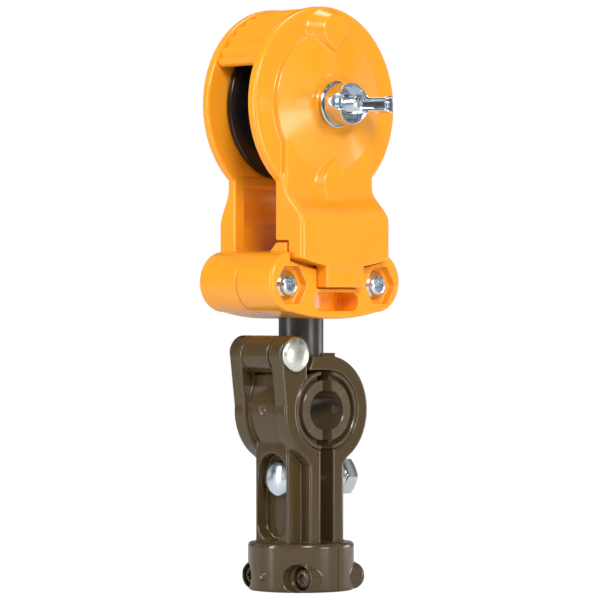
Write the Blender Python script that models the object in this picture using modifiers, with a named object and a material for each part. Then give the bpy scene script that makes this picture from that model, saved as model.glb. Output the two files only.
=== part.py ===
"""Cable pulley on a clamp: a swivelling open head with a grooved wheel, on a stem held by a hinged clamp.

Metres, +Z up. The front cover faces -Y. The origin is the centre of the collar's lower face,
and the stem, the collar and the wheel all lie on the plane X = 0.
A depth is a distance in front of the plane Y = 0, so a point at depth d has Y = -d.
"""

import math

import bmesh
import bpy
from mathutils import Matrix, Vector

# Clearances
TOUCH = 0.0003            # gap that two resting faces keep
RUN = 0.0004              # gap around a piece that turns
THREAD_PLAY = 0.0005      # gap between a plain shank and the plain bore of its nut

# Roundness of the round pieces
FINE_STEPS = 44
MEDIUM_STEPS = 28
SMALL_STEPS = 16

# Collar that grips the pole
COLLAR_RADIUS = 0.0252
COLLAR_HEIGHT = 0.0228
POLE_BORE_RADIUS = 0.0130
COLLAR_ROOF = 0.0040
COLLAR_EDGE = 0.0014
SEAM = 0.0006                # gap between the collar's halves

# Jaws
JAW_HALF_DEPTH = 0.0176
BLOCK_HALF_DEPTH = 0.0110
LEFT_BLOCK_REACH = 0.0195
RIGHT_BLOCK_REACH = 0.0180
BLOCK_TOP = 0.0731
NECK_REACH = 0.0109
SLOT_WIDTH = 0.0084
SLIT = 0.0008                # gap under the hinge ears
JAW_EDGE = 0.0007
OVERLAP = 0.0002            # how far joined shapes run past or stay short of each other
WELD = 0.000002             # points closer than this become one

# Cable bore and its liners
BORE_HEIGHT = 0.0853
HALF_SHIFT = 0.00175
JAW_RING_RADIUS = 0.0256
WEB_RADIUS = 0.0230
WEB_FLAT_ANGLE = 30.0
OUTER_LINER_RADIUS = 0.0184
INNER_LINER_RADIUS = 0.0142
BORE_RADIUS = 0.0092
OUTER_LINER_SLOT = 0.0078
INNER_LINER_SLOT = 0.0061
LINER_GROOVE_DEPTH = 0.0030
LINER_GROOVE_WIDTH = 0.0024

# Hinge between the jaws
HINGE_X = -0.0219
HINGE_HEIGHT = 0.1118
HINGE_RADIUS = 0.0088
HINGE_RELIEF_RADIUS = 0.0126
KNUCKLE_HALF_LENGTH = 0.0086
PIN_RADIUS = 0.0040
PIN_HEAD_RADIUS = 0.0082
PIN_HEAD_HEIGHT = 0.0034
CLIP_RADIUS = 0.0068
CLIP_THICKNESS = 0.0012
PIN_TAIL = 0.0015

# Clamp bolt, M10
BOLT_HEIGHT = 0.0528
BOLT_RADIUS = 0.0049
BOLT_HOLE_PLAY = 0.0009
BOLT_HEAD_RADIUS = 0.0089
BOLT_HEAD_HEIGHT = 0.0052
BOLT_TAIL = 0.0015
SHANK_EDGE = 0.0006           # chamfer at the end of a bolt
HEAD_RECESS_WIDTH = 0.0193
HEAD_RECESS_DEPTH = 0.0062
HEAD_RECESS_TOP = 0.0649
CLAMP_NUT_FLATS = 0.0165
CLAMP_NUT_HEIGHT = 0.0080
CLAMP_WASHER_RADIUS = 0.0095
CLAMP_WASHER_THICKNESS = 0.0012
SPRING_WASHER_RADIUS = 0.0086
SPRING_WASHER_THICKNESS = 0.0018

# Collar screws, M5, one in front of the pole and one behind it
COLLAR_SCREW_HEIGHT = 0.0066
COLLAR_SCREW_OFFSET = 0.0171
COLLAR_SCREW_RADIUS = 0.0021
COLLAR_SCREW_HEAD_RADIUS = 0.0047
COLLAR_SCREW_HEAD_HEIGHT = 0.0032
COLLAR_WASHER_RADIUS = 0.0049
COLLAR_WASHER_THICKNESS = 0.0008
COLLAR_HEAD_PLAY = 0.0007
COLLAR_HOLE_PLAY = 0.0011
BOSS_RADIUS = 0.0064
BOSS_LEFT = 0.0165
BOSS_RIGHT = 0.0209
BOSS_END_WALL = 0.0045
COLLAR_SCREW_EDGE = 0.0008
INSERT_RADIUS = 0.0031
INSERT_START = 0.0020

# Stem
STEM_RADIUS = 0.01065
STEM_WALL = 0.0032
STEM_SOCKET_FLOOR = 0.0021
STEM_TOP = 0.1480
STEM_FLANGE_RADIUS = 0.0140
STEM_FLANGE_THICKNESS = 0.0030
THRUST_WASHER_THICKNESS = 0.0015
STEM_SEAT_TOP = 0.1122

# Base block of the head
BASE_HALF_WIDTH = 0.0429
BASE_FRONT = 0.0240
BASE_BACK = 0.0254
BASE_MIDDLE = 0.1458
BASE_END_RADIUS = 0.0142
BASE_BELLY = 0.0032
BASE_EDGE = 0.0016
BASE_SEAM = 0.0004
STEP_RISE = 0.0042
STEP_START = 0.0085
STEP_SLOPE = 0.0045
WINDOW_WIDTH = 0.0294
WINDOW_HEIGHT = 0.0086
WINDOW_MIDDLE = 0.1365
WINDOW_BACK = 0.0120
STEM_BOSS_RADIUS = 0.0165

# Base screws, M6, and their nuts
BASE_SCREW_X = 0.0295
BASE_SCREW_HEIGHT = 0.1443
BASE_SCREW_RADIUS = 0.0029
BASE_SCREW_HEAD_RADIUS = 0.0068
BASE_SCREW_FLANGE = 0.0014
BASE_SCREW_DOME_RADIUS = 0.0054
BASE_SCREW_HEAD_HEIGHT = 0.0036
BASE_SCREW_EDGE = 0.0006
BASE_SCREW_CROWN = 0.0022      # height of the rounding at the crown
DRIVE_RADIUS = 0.0027
DRIVE_DEPTH = 0.0020
BASE_POCKET_FLATS = 0.0173
BASE_POCKET_DEPTH = 0.0046
BASE_NUT_FLATS = 0.0100
BASE_NUT_HEIGHT = 0.0050
BASE_NUT_DEPTH = 0.0060

# Wheel and its bearing
AXLE_HEIGHT = 0.2293
WHEEL_RADIUS = 0.0352
WHEEL_RIM = 0.0024
GROOVE_FLOOR_RADIUS = 0.0215
GROOVE_ROUND = 0.0070
WHEEL_HUB_RADIUS = 0.0150
WHEEL_DISH = 0.0012
BUSH_RADIUS = 0.0090
SLEEVE_RADIUS = 0.0062
AXLE_RADIUS = 0.0040
AXLE_END = 0.0385
AXLE_HEAD_FLATS = 0.0130
AXLE_HEAD_HEIGHT = 0.0053

# Discs of the head
DISC_RADIUS = 0.0465
DISC_EDGE = 0.0012
FRONT_DISC_INNER = 0.0116
FRONT_DISC_OUTER = 0.0168
REAR_DISC_INNER = 0.0149
REAR_DISC_OUTER = 0.0193
PLATEAU_RADIUS = 0.0342
PLATEAU_RISE = 0.0024
CONE_TOP_RADIUS = 0.0150
CONE_RISE = 0.0043
WASHER_SEAT_RADIUS = 0.0142
WASHER_SEAT_DEPTH = 0.0006
HUB_RADIUS = 0.0105
COVER_HOLE_RADIUS = 0.0052
REAR_HUB_RADIUS = 0.0120
REAR_HUB_RISE = 0.0061

# Cover neck, its lobe and its tab
NECK_HALF_WIDTH = 0.0292
NECK_BACK = 0.0120
NECK_FRONT = 0.0195
SHELL_WALL = 0.0030
SKIRT_FOOT = 0.1652
LOBE_FRONT = 0.0306
LOBE_BACK = 0.0212
LOBE_TOP = 0.1745
SWELL_TOP = 0.1905
LOBE_EDGE = 0.0020
LOBE_SIDE_FOOT = 0.1568
LOBE_MIDDLE_FOOT = 0.1525
LOBE_GAP = 0.0014
TAB_HALF_WIDTH = 0.0125
TAB_FOOT = 0.1432
TAB_FRONT = 0.0298
TAB_BACK = 0.0222
TAB_GAP = 0.0006

# Bridge over the wheel, with finger ribs, and the two finger pads on the cover
BRIDGE_START = 29.0
BRIDGE_THICKNESS = 0.0066
BRIDGE_INSET = 0.0004
RIB_COUNT = 13
RIB_STEPS = 4
END_SHARES = (0.04, 0.25, 0.6)  # where the sections of a rounded end lie, as shares of its length
RIB_DEPTH = 0.0011
PAD_HALF_WIDTH = 0.0138
PAD_FLANK = 0.0068             # width of a pad's sloping side
PAD_RISE = 0.0064
PAD_TIP_RADIUS = 0.0222        # distance of a pad's tip from the axle
UPPER_PAD_INSET = 0.0008
LOWER_PAD_REACH = 0.0040       # how far the lower pad runs past the disc's rim
PAD_SHOULDER = 0.58            # share of a pad's length at which it is widest

# Rear arm
ARM_INNER = 0.0146
ARM_OUTER = 0.0195
ARM_FLARE = 0.0057
ARM_FLARE_TOP = 0.1900
ARM_FLARE_FOOT = 0.1720
ARM_POCKET_HALF_WIDTH = 0.0235
ARM_POCKET_TOP = 0.1910
ARM_WALL = 0.0034

# Wing nut and its washer
WING_WASHER_RADIUS = 0.0109
WING_WASHER_THICKNESS = 0.0016
WING_HUB_RADIUS = 0.0098
WING_HUB_TOP_RADIUS = 0.0062
WING_HUB_HEIGHT = 0.0100
WING_SPAN = 0.0207
WING_THICKNESS = 0.0052
WING_RISE = 0.0182
WING_ROUND = 0.0046
WING_FOOT = 0.0030             # height of a wing's outer foot on the hub
WING_ROOT = 0.0012             # depth that a wing reaches into the hub
WING_EDGE = 0.0010

# Values that follow from the sizes above
STEM_FOOT = BORE_HEIGHT + OUTER_LINER_RADIUS + STEM_SOCKET_FLOOR
BASE_TOP = BASE_MIDDLE + BASE_END_RADIUS
BASE_FOOT = BASE_MIDDLE - BASE_END_RADIUS - BASE_BELLY
STEP_TOP = BASE_TOP + STEP_RISE
PLATEAU = FRONT_DISC_OUTER + PLATEAU_RISE
CONE_TOP = PLATEAU + CONE_RISE
COVER_FACE = CONE_TOP - WASHER_SEAT_DEPTH
REAR_FACE = REAR_DISC_OUTER + REAR_HUB_RISE
HEAD_POCKET_FLOOR = REAR_FACE - AXLE_HEAD_HEIGHT - TOUCH
RECESS_FLOOR = LEFT_BLOCK_REACH - HEAD_RECESS_DEPTH
SCREW_SEAT = BOSS_LEFT - COLLAR_SCREW_HEAD_HEIGHT - COLLAR_WASHER_THICKNESS - 2 * TOUCH
SCREW_POCKET_FLOOR = BASE_FRONT - BASE_POCKET_DEPTH
JAW_FOOT = COLLAR_HEIGHT - COLLAR_EDGE
SEAT_RADIUS = OUTER_LINER_RADIUS + TOUCH
TAB_PIVOT = (LOBE_BACK + TAB_FRONT) / 2


# Scene and object helpers

def clear_scene():
    """Remove every object and collection that the file opened with."""
    for item in list(bpy.data.objects):
        bpy.data.objects.remove(item, do_unlink=True)
    for group in list(bpy.data.collections):
        bpy.data.collections.remove(group)


def new_collection(name):
    group = bpy.data.collections.new(name)
    bpy.context.scene.collection.children.link(group)
    return group


clear_scene()
PARTS = new_collection("cable_pulley")
CUTTERS = new_collection("cutters")


def paint(name, colour, roughness, metallic=0.0):
    """One Principled material for one sub-part."""
    material = bpy.data.materials.new(name)
    material.use_nodes = True
    shader = material.node_tree.nodes["Principled BSDF"]
    shader.inputs["Base Color"].default_value = (*colour, 1.0)
    shader.inputs["Roughness"].default_value = roughness
    shader.inputs["Metallic"].default_value = metallic
    return material


def work_object(name, mesh):
    """Put a mesh in the working collection, marked as a helper shape."""
    item = bpy.data.objects.new(name, mesh)
    CUTTERS.objects.link(item)
    item.hide_render = True
    item.display_type = "WIRE"
    return item


def from_bmesh(name, shape):
    bmesh.ops.recalc_face_normals(shape, faces=shape.faces)
    mesh = bpy.data.meshes.new(name)
    shape.to_mesh(mesh)
    shape.free()
    return work_object(name, mesh)


def baked(item):
    """The evaluated shape of an object as a plain closed mesh in world space."""
    graph = bpy.context.evaluated_depsgraph_get()
    graph.update()
    mesh = bpy.data.meshes.new_from_object(item.evaluated_get(graph), depsgraph=graph)
    mesh.transform(item.matrix_world)
    shape = bmesh.new()
    shape.from_mesh(mesh)
    bmesh.ops.remove_doubles(shape, verts=shape.verts, dist=WELD)
    bmesh.ops.dissolve_degenerate(shape, edges=shape.edges, dist=WELD)
    name = item.name
    bpy.data.objects.remove(item, do_unlink=True)
    bpy.data.meshes.remove(mesh)
    return from_bmesh(name, shape)


# Frames of a flat outline: where its u, v and thickness directions point
FRAMES = {
    "X": Matrix(((0, 0, 1), (1, 0, 0), (0, 1, 0))).to_4x4(),
    "Y": Matrix(((1, 0, 0), (0, 0, -1), (0, 1, 0))).to_4x4(),
    "Z": Matrix.Identity(4),
}


def box(low, high):
    """A box between two corners."""
    shape = bmesh.new()
    bmesh.ops.create_cube(shape, size=1.0)
    low, high = Vector(low), Vector(high)
    size = Matrix.Diagonal((*(high - low), 1.0))
    bmesh.ops.transform(shape, matrix=Matrix.Translation((low + high) / 2) @ size, verts=shape.verts)
    return from_bmesh("box", shape)


def rod(axis, start, end, radius, centre=(0.0, 0.0, 0.0), steps=SMALL_STEPS, top_radius=None, turn=0.0):
    """A cylinder or cone along a world axis, between two values of that axis."""
    shape = bmesh.new()
    last = radius if top_radius is None else top_radius
    bmesh.ops.create_cone(
        shape, cap_ends=True, segments=steps, radius1=radius, radius2=last, depth=end - start,
        matrix=Matrix.Rotation(turn, 4, "Z"),
    )
    place = Vector(centre)
    place["XYZ".index(axis)] = (start + end) / 2
    turned = {
        "X": Matrix.Rotation(math.pi / 2, 4, "Y"),
        "Y": Matrix.Rotation(-math.pi / 2, 4, "X"),
        "Z": Matrix.Identity(4),
    }[axis]
    bmesh.ops.transform(shape, matrix=Matrix.Translation(place) @ turned, verts=shape.verts)
    return from_bmesh("rod", shape)


def hexagon(axis, start, end, flats, centre, corners_up=True):
    """A hexagonal bar of the given width across its flats."""
    turn = math.pi / 6 if corners_up else 0.0
    if axis == "X":
        turn = 0.0 if corners_up else math.pi / 6
    return rod(axis, start, end, flats / math.sqrt(3), centre, 6, None, turn)


def turned(profile, axis, centre=(0.0, 0.0, 0.0), steps=MEDIUM_STEPS):
    """A turned solid: (radius, height) points that run down the outer side, turned about an axis.

    Heights run along +Z, +X or -Y, so that a height on the Y axis is a distance to the front.
    """
    mesh = bpy.data.meshes.new("turned")
    closed = profile[0][0] > 0.0
    count = len(profile)
    links = [(i, (i + 1) % count) for i in range(count if closed else count - 1)]
    mesh.from_pydata([(r, 0.0, h) for r, h in profile], links, [])
    item = work_object("turned", mesh)
    screw = item.modifiers.new("screw", "SCREW")
    screw.axis = "Z"
    screw.steps = screw.render_steps = steps
    screw.use_merge_vertices = True
    screw.merge_threshold = 0.000005
    rotation = {
        "X": Matrix.Rotation(math.pi / 2, 4, "Y"),
        "Y": Matrix.Rotation(math.pi / 2, 4, "X"),
        "Z": Matrix.Identity(4),
    }[axis]
    item.matrix_world = Matrix.Translation(centre) @ rotation
    return baked(item)


def plate(loops, axis, low, high, rounding=0.0, steps=1):
    """A flat outline, or several with holes, as a solid from low to high along an axis.

    Outlines are (Y, Z) for the X axis, (X, Z) for the Y axis and (X, Y) for the Z axis.
    """
    curve = bpy.data.curves.new("plate", "CURVE")
    curve.dimensions = "2D"
    curve.fill_mode = "BOTH"
    curve.extrude = (high - low) / 2 - rounding
    curve.bevel_depth = rounding
    curve.offset = -rounding
    curve.bevel_resolution = steps if rounding else 0
    for loop in loops:
        spline = curve.splines.new("POLY")
        spline.points.add(len(loop) - 1)
        for point, (u, v) in zip(spline.points, loop):
            point.co = (u, v, 0.0, 1.0)
        spline.use_cyclic_u = True
    item = bpy.data.objects.new("plate", curve)
    CUTTERS.objects.link(item)
    middle = Vector((0.0, 0.0, 0.0))
    middle["XYZ".index(axis)] = (low + high) / 2
    item.matrix_world = Matrix.Translation(middle) @ FRAMES[axis]
    return baked(item)


def boolean(item, others, operation):
    """Join, cut or intersect an object with helper shapes one by one; the helpers are used up."""
    for other in others:
        step = item.modifiers.new(operation, "BOOLEAN")
        step.operation = operation
        step.solver = "EXACT"
        step.object = other
        item = baked(item)
        bpy.data.objects.remove(other, do_unlink=True)
    return item


def join(item, *others):
    return boolean(item, others, "UNION")


def cut(item, *others):
    return boolean(item, others, "DIFFERENCE")


def meet(item, *others):
    return boolean(item, others, "INTERSECT")


def node(item, name, material, origin=(0.0, 0.0, 0.0), smooth=32.0):
    """Name a finished solid, give it its material and put its origin on its joint's axis."""
    item.name = name
    item.data.name = name
    item.data.transform(Matrix.Translation(-Vector(origin)))
    item.location = origin
    item.data.materials.clear()
    item.data.materials.append(material)
    item.data.shade_smooth()
    item.data.set_sharp_from_angle(angle=math.radians(smooth))
    CUTTERS.objects.unlink(item)
    PARTS.objects.link(item)
    item.hide_render = False
    item.display_type = "TEXTURED"
    return item


# Outline helpers

def arc(centre, radius, start, end, steps):
    """Points on an arc, in degrees, both ends included."""
    points = []
    for i in range(steps + 1):
        angle = math.radians(start + (end - start) * i / steps)
        points.append((centre[0] + radius * math.cos(angle), centre[1] + radius * math.sin(angle)))
    return points


def circle(centre, radius, steps):
    return arc(centre, radius, 0.0, 360.0 * (steps - 1) / steps, steps - 1)


def slot_outline(centre, width, height, steps=8):
    """A rounded slot, longer along u or along v."""
    radius = min(width, height) / 2
    along = (max(width, height)) / 2 - radius
    if width >= height:
        right = arc((centre[0] + along, centre[1]), radius, -90, 90, steps)
        left = arc((centre[0] - along, centre[1]), radius, 90, 270, steps)
        return right + left
    top = arc((centre[0], centre[1] + along), radius, 0, 180, steps)
    foot = arc((centre[0], centre[1] - along), radius, 180, 360, steps)
    return top + foot


def star_outline(centre, radius, steps=24):
    """A six-lobed drive recess."""
    points = []
    for i in range(steps):
        angle = 2 * math.pi * i / steps
        reach = radius * (0.87 + 0.13 * math.cos(6 * angle))
        points.append((centre[0] + reach * math.cos(angle), centre[1] + reach * math.sin(angle)))
    return points


def arc_through(half_width, sagitta):
    """Radius of the circle that sags by the given amount over a half width."""
    return (half_width ** 2 + sagitta ** 2) / (2 * sagitta)


def sagging(half_width, ends, middle, steps):
    """A shallow arc from right to left, at height ends at its ends and middle at its centre."""
    radius = arc_through(half_width, abs(ends - middle))
    points = []
    for i in range(steps + 1):
        u = half_width * (1 - 2 * i / steps)
        drop = radius - math.sqrt(radius ** 2 - u ** 2)
        points.append((u, middle + math.copysign(drop, ends - middle)))
    return points


# Materials

ORANGE = (0.94, 0.38, 0.025)
BROWN = (0.105, 0.078, 0.050)
BLACK = (0.012, 0.012, 0.013)
ZINC = (0.62, 0.64, 0.66)
BRONZE = (0.42, 0.27, 0.12)
NYLON = (0.55, 0.53, 0.48)


# Lower clamp

def collar_half(side):
    """Half of the collar and of its two screw bosses, on one side of the seam."""
    outer = COLLAR_RADIUS
    ring = turned(
        [
            (0.0, COLLAR_HEIGHT), (outer - COLLAR_EDGE, COLLAR_HEIGHT),
            (outer - COLLAR_EDGE * 0.3, COLLAR_HEIGHT - COLLAR_EDGE * 0.3),
            (outer, COLLAR_HEIGHT - COLLAR_EDGE), (outer, COLLAR_EDGE / 2),
            (outer - COLLAR_EDGE / 2, 0.0), (0.0, 0.0),
        ],
        "Z", steps=FINE_STEPS,
    )
    collar = join(ring, *[collar_boss(way) for way in (-1, 1)])
    far = COLLAR_RADIUS * 2
    near = SEAM / 2 * side
    return meet(collar, box((min(near, far * side), -far, -far), (max(near, far * side), far, far)))


def collar_boss(way):
    """Round boss along one collar screw, with a rounded right end."""
    edge = COLLAR_EDGE
    left = -(BOSS_LEFT + edge)
    profile = [
        (0.0, BOSS_RIGHT), (BOSS_RADIUS - 2 * edge, BOSS_RIGHT), (BOSS_RADIUS - edge * 0.6, BOSS_RIGHT - edge * 0.6),
        (BOSS_RADIUS, BOSS_RIGHT - 2 * edge), (BOSS_RADIUS, left), (0.0, left),
    ]
    return turned(profile, "X", (0.0, way * COLLAR_SCREW_OFFSET, COLLAR_SCREW_HEIGHT), MEDIUM_STEPS)


def collar_screw_cutters(side):
    """Holes, head pockets, scoops and insert pockets of the two collar screws, as they cut one half."""
    cutters = []
    far = -2 * COLLAR_RADIUS
    for way in (-1, 1):
        centre = (0.0, way * COLLAR_SCREW_OFFSET, COLLAR_SCREW_HEIGHT)
        if side < 0:
            hole = COLLAR_SCREW_RADIUS + COLLAR_HOLE_PLAY
            pocket = COLLAR_WASHER_RADIUS + COLLAR_HEAD_PLAY
            cutters.append(rod("X", far, SEAM, hole, centre))
            cutters.append(rod("X", far, -SCREW_SEAT, pocket, centre, MEDIUM_STEPS))
            cutters.append(rod("X", far, -BOSS_LEFT, BOSS_RADIUS + OVERLAP, centre, MEDIUM_STEPS + 2))
        else:
            end = BOSS_RIGHT - BOSS_END_WALL
            cutters.append(rod("X", -SEAM, end + TOUCH, INSERT_RADIUS + TOUCH, centre))
    return cutters


def ring_centre(side):
    return (HALF_SHIFT * side, BORE_HEIGHT)


def neck_corner(side):
    """Angle at which the ring runs into the neck, in degrees from straight down, and the knee's height."""
    angle = math.degrees(math.asin((NECK_REACH - HALF_SHIFT) / JAW_RING_RADIUS))
    knee = BORE_HEIGHT - JAW_RING_RADIUS * math.cos(math.radians(angle)) - HALF_SHIFT
    return angle, (side * NECK_REACH, knee)


def left_flange_outline():
    """Outline of the swing jaw's front and rear flange: ear, ring and neck."""
    angle, knee = neck_corner(-1)
    inner = HINGE_X + HINGE_RADIUS
    ear = arc((HINGE_X, HINGE_HEIGHT), HINGE_RADIUS, 0, 172, 12)
    ring = arc(ring_centre(-1), JAW_RING_RADIUS, 175, 262 - angle, 10)
    foot = [(0.0, JAW_FOOT), (0.0, BORE_HEIGHT), (inner, BORE_HEIGHT + WEB_RADIUS / 2)]
    return foot + ear + ring + [knee, (-NECK_REACH, JAW_FOOT)]


def right_flange_outline():
    """Outline of the fixed jaw's front and rear flange: ring, neck and a flat top towards the ear."""
    angle, knee = neck_corner(1)
    inner = HINGE_X + HINGE_RADIUS
    top = BORE_HEIGHT + JAW_RING_RADIUS
    ring = arc(ring_centre(1), JAW_RING_RADIUS, angle - 82, 98, 20)
    head = [(inner, top), (inner, BORE_HEIGHT + OUTER_LINER_RADIUS), (0.0, BORE_HEIGHT)]
    return [(0.0, JAW_FOOT), (NECK_REACH, JAW_FOOT), knee] + ring + head


def web_outline(side):
    """Outline of the web between a jaw's flanges, from the block up to the hinge or the stem."""
    ring = ring_centre(side)
    low = math.degrees(math.asin((BLOCK_TOP - BORE_HEIGHT) / WEB_RADIUS)) - 12
    start = -side * OVERLAP
    foot = (start, BLOCK_TOP - WEB_RADIUS / 4)
    if side < 0:
        inner = HINGE_X + HINGE_RADIUS - OVERLAP
        top = HINGE_HEIGHT - HINGE_RADIUS - SLIT
        bulge = arc(ring, WEB_RADIUS, 180 - WEB_FLAT_ANGLE, 180 - low, 14)
        head = [(start, BORE_HEIGHT), (inner, BORE_HEIGHT + WEB_RADIUS / 2), (inner, top), (bulge[0][0], top)]
        return head + bulge + [foot]
    bulge = arc(ring, WEB_RADIUS, low, 60, 14)
    reach = STEM_RADIUS + HALF_SHIFT
    head = [(reach, STEM_SEAT_TOP), (-reach, STEM_SEAT_TOP), (-reach, BORE_HEIGHT + INNER_LINER_RADIUS)]
    return [foot] + bulge + head + [(start, BORE_HEIGHT)]


def block_solid(side):
    """Block that the clamp bolt passes through."""
    reach = LEFT_BLOCK_REACH if side < 0 else RIGHT_BLOCK_REACH
    foot = JAW_FOOT - JAW_EDGE
    start = -2 * side * OVERLAP
    outline = [(start, foot), (reach * side, foot), (reach * side, BLOCK_TOP), (start, BLOCK_TOP)]
    if side < 0:
        outline.reverse()
    return plate([outline], "Y", -BLOCK_HALF_DEPTH, BLOCK_HALF_DEPTH, JAW_EDGE)


def jaw_flanges(outline):
    """Front and rear flange of a jaw."""
    inner = BLOCK_HALF_DEPTH - JAW_EDGE - OVERLAP
    outer = JAW_HALF_DEPTH
    return [plate([outline], "Y", low, high, JAW_EDGE) for low, high in ((-outer, -inner), (inner, outer))]


def jaw_body(side, outline):
    """Web, block and flanges of a jaw, cut back to the slot and to the liner's seat."""
    half = BLOCK_HALF_DEPTH - OVERLAP
    body = plate([web_outline(side)], "Y", -half, half)
    body = join(body, block_solid(side), *jaw_flanges(outline))
    far = -side * COLLAR_RADIUS * 2
    near = side * SLOT_WIDTH / 2
    deep = 2 * JAW_HALF_DEPTH
    slot = box((min(near, far), -deep, 0.0), (max(near, far), deep, BORE_HEIGHT))
    return cut(body, liner_seat(side), slot)


def hinge_rod(low, high, radius=HINGE_RADIUS):
    return rod("Y", low, high, radius, (HINGE_X, 0.0, HINGE_HEIGHT), MEDIUM_STEPS)


def liner_seat(side):
    deep = 2 * JAW_HALF_DEPTH
    return rod("Y", -deep, deep, SEAT_RADIUS, (HALF_SHIFT * side, 0.0, BORE_HEIGHT), FINE_STEPS)


def pole_socket():
    return rod("Z", -COLLAR_HEIGHT, COLLAR_HEIGHT - COLLAR_ROOF, POLE_BORE_RADIUS, steps=FINE_STEPS)


def shoulder_outline():
    """Web that carries the hinge knuckle from the stem's seat."""
    top = HINGE_HEIGHT + HINGE_RADIUS - OVERLAP
    under = BORE_HEIGHT + OUTER_LINER_RADIUS
    return [
        (HINGE_X, HINGE_HEIGHT - HINGE_RADIUS * 0.8), (-STEM_RADIUS, under), (0.0, under),
        (STEM_RADIUS / 2, STEM_SEAT_TOP - JAW_EDGE), (-STEM_RADIUS / 3, top), (HINGE_X, top),
    ]


def fixed_jaw():
    """Right jaw: half collar, block, ring around the bore, hinge knuckle and the stem's socket."""
    half = KNUCKLE_HALF_LENGTH
    deep = 2 * JAW_HALF_DEPTH
    shoulder = plate([shoulder_outline()], "Y", OVERLAP - half, half - OVERLAP, JAW_EDGE)
    body = join(jaw_body(1, right_flange_outline()), hinge_rod(-half, half), shoulder)
    under = BORE_HEIGHT + SEAT_RADIUS + TOUCH
    above_left_half = box((HINGE_X + 2 * OVERLAP, -deep, BORE_HEIGHT - SLOT_WIDTH), (HALF_SHIFT, deep, under))
    around_knuckle = cut(above_left_half, hinge_rod(-deep, deep))
    relief = [hinge_rod(*ends, HINGE_RELIEF_RADIUS) for ends in ((-deep, -half - TOUCH / 2), (half + TOUCH / 2, deep))]
    body = join(cut(body, around_knuckle, *relief), collar_half(1))
    socket = rod("Z", STEM_FOOT - TOUCH, HINGE_HEIGHT * 2, STEM_RADIUS + TOUCH, steps=MEDIUM_STEPS)
    pin_hole = hinge_rod(-deep, deep, PIN_RADIUS + TOUCH)
    hole = BOLT_RADIUS + BOLT_HOLE_PLAY
    bolt_hole = rod("X", 0.0, 2 * RIGHT_BLOCK_REACH, hole, (0.0, 0.0, BOLT_HEIGHT))
    return cut(body, socket, pin_hole, bolt_hole, pole_socket(), *collar_screw_cutters(1))


def swing_jaw():
    """Left jaw: half collar, block with the bolt's recess, web, flanges and two hinge ears."""
    deep = 2 * JAW_HALF_DEPTH
    inner = KNUCKLE_HALF_LENGTH + RUN
    outer = JAW_HALF_DEPTH - 2 * JAW_EDGE
    ears = [hinge_rod(*ends, HINGE_RADIUS - OVERLAP) for ends in ((-outer, -inner), (inner, outer))]
    body = join(jaw_body(-1, left_flange_outline()), *ears)
    body = join(body, collar_half(-1))
    hole = BOLT_RADIUS + BOLT_HOLE_PLAY
    bolt_hole = rod("X", -2 * LEFT_BLOCK_REACH, 0.0, hole, (0.0, 0.0, BOLT_HEIGHT))
    height = HEAD_RECESS_TOP - COLLAR_HEIGHT - COLLAR_EDGE / 2
    middle = HEAD_RECESS_TOP - height / 2
    recess = plate(
        [slot_outline((0.0, middle), HEAD_RECESS_WIDTH, height)], "X", -2 * LEFT_BLOCK_REACH, -RECESS_FLOOR
    )
    pin_hole = hinge_rod(-deep, deep, PIN_RADIUS + RUN)
    return cut(body, pin_hole, bolt_hole, recess, pole_socket(), *collar_screw_cutters(-1))


def half_ring(side, outer, inner, slot):
    """One half of a liner, cut off at the slot between the halves."""
    whole = plate(
        [circle(ring_centre(side), outer, FINE_STEPS), circle(ring_centre(side), inner, FINE_STEPS)],
        "Y", -JAW_HALF_DEPTH, JAW_HALF_DEPTH,
    )
    near = slot / 2 * side
    far = 2 * outer * side
    half = box(
        (min(near, far), -2 * JAW_HALF_DEPTH, BORE_HEIGHT - 2 * outer),
        (max(near, far), 2 * JAW_HALF_DEPTH, BORE_HEIGHT + 2 * outer),
    )
    return meet(whole, half)


def outer_liner(side):
    """Outer half shell of the bore, with a shallow step around its inner edge at both ends."""
    shell = half_ring(side, OUTER_LINER_RADIUS, INNER_LINER_RADIUS + TOUCH, OUTER_LINER_SLOT)
    step = INNER_LINER_RADIUS + LINER_GROOVE_WIDTH
    place = (HALF_SHIFT * side, 0.0, BORE_HEIGHT)
    floor = JAW_HALF_DEPTH - LINER_GROOVE_DEPTH
    ends = ((-2 * JAW_HALF_DEPTH, -floor), (floor, 2 * JAW_HALF_DEPTH))
    return cut(shell, *[rod("Y", low, high, step, place, FINE_STEPS) for low, high in ends])


def inner_liner(side):
    return half_ring(side, INNER_LINER_RADIUS, BORE_RADIUS, INNER_LINER_SLOT)


def hinge_pin():
    """Domed pin: its head is at the front and its groove for the clip at the back."""
    seat = JAW_HALF_DEPTH + TOUCH
    tail = -(JAW_HALF_DEPTH + 2 * TOUCH + CLIP_THICKNESS + PIN_TAIL)
    top = seat + PIN_HEAD_HEIGHT
    return turned(
        [
            (0.0, top), (PIN_HEAD_RADIUS * 0.55, top - PIN_HEAD_HEIGHT * 0.10),
            (PIN_HEAD_RADIUS * 0.85, top - PIN_HEAD_HEIGHT * 0.36), (PIN_HEAD_RADIUS, top - PIN_HEAD_HEIGHT * 0.65),
            (PIN_HEAD_RADIUS, seat), (PIN_RADIUS, seat), (PIN_RADIUS, tail), (0.0, tail),
        ],
        "Y", (HINGE_X, 0.0, HINGE_HEIGHT),
    )


def washer(axis, start, thickness, outer, inner, centre, steps=MEDIUM_STEPS):
    """A flat ring that starts at a height along its axis."""
    end = start + thickness
    return turned([(inner, end), (outer, end), (outer, start), (inner, start)], axis, centre, steps)


def hinge_clip():
    start = -(JAW_HALF_DEPTH + TOUCH + CLIP_THICKNESS)
    centre = (HINGE_X, 0.0, HINGE_HEIGHT)
    return washer("Y", start, CLIP_THICKNESS, CLIP_RADIUS, PIN_RADIUS + TOUCH, centre)


# Stack of washers and nut on the clamp bolt

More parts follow.
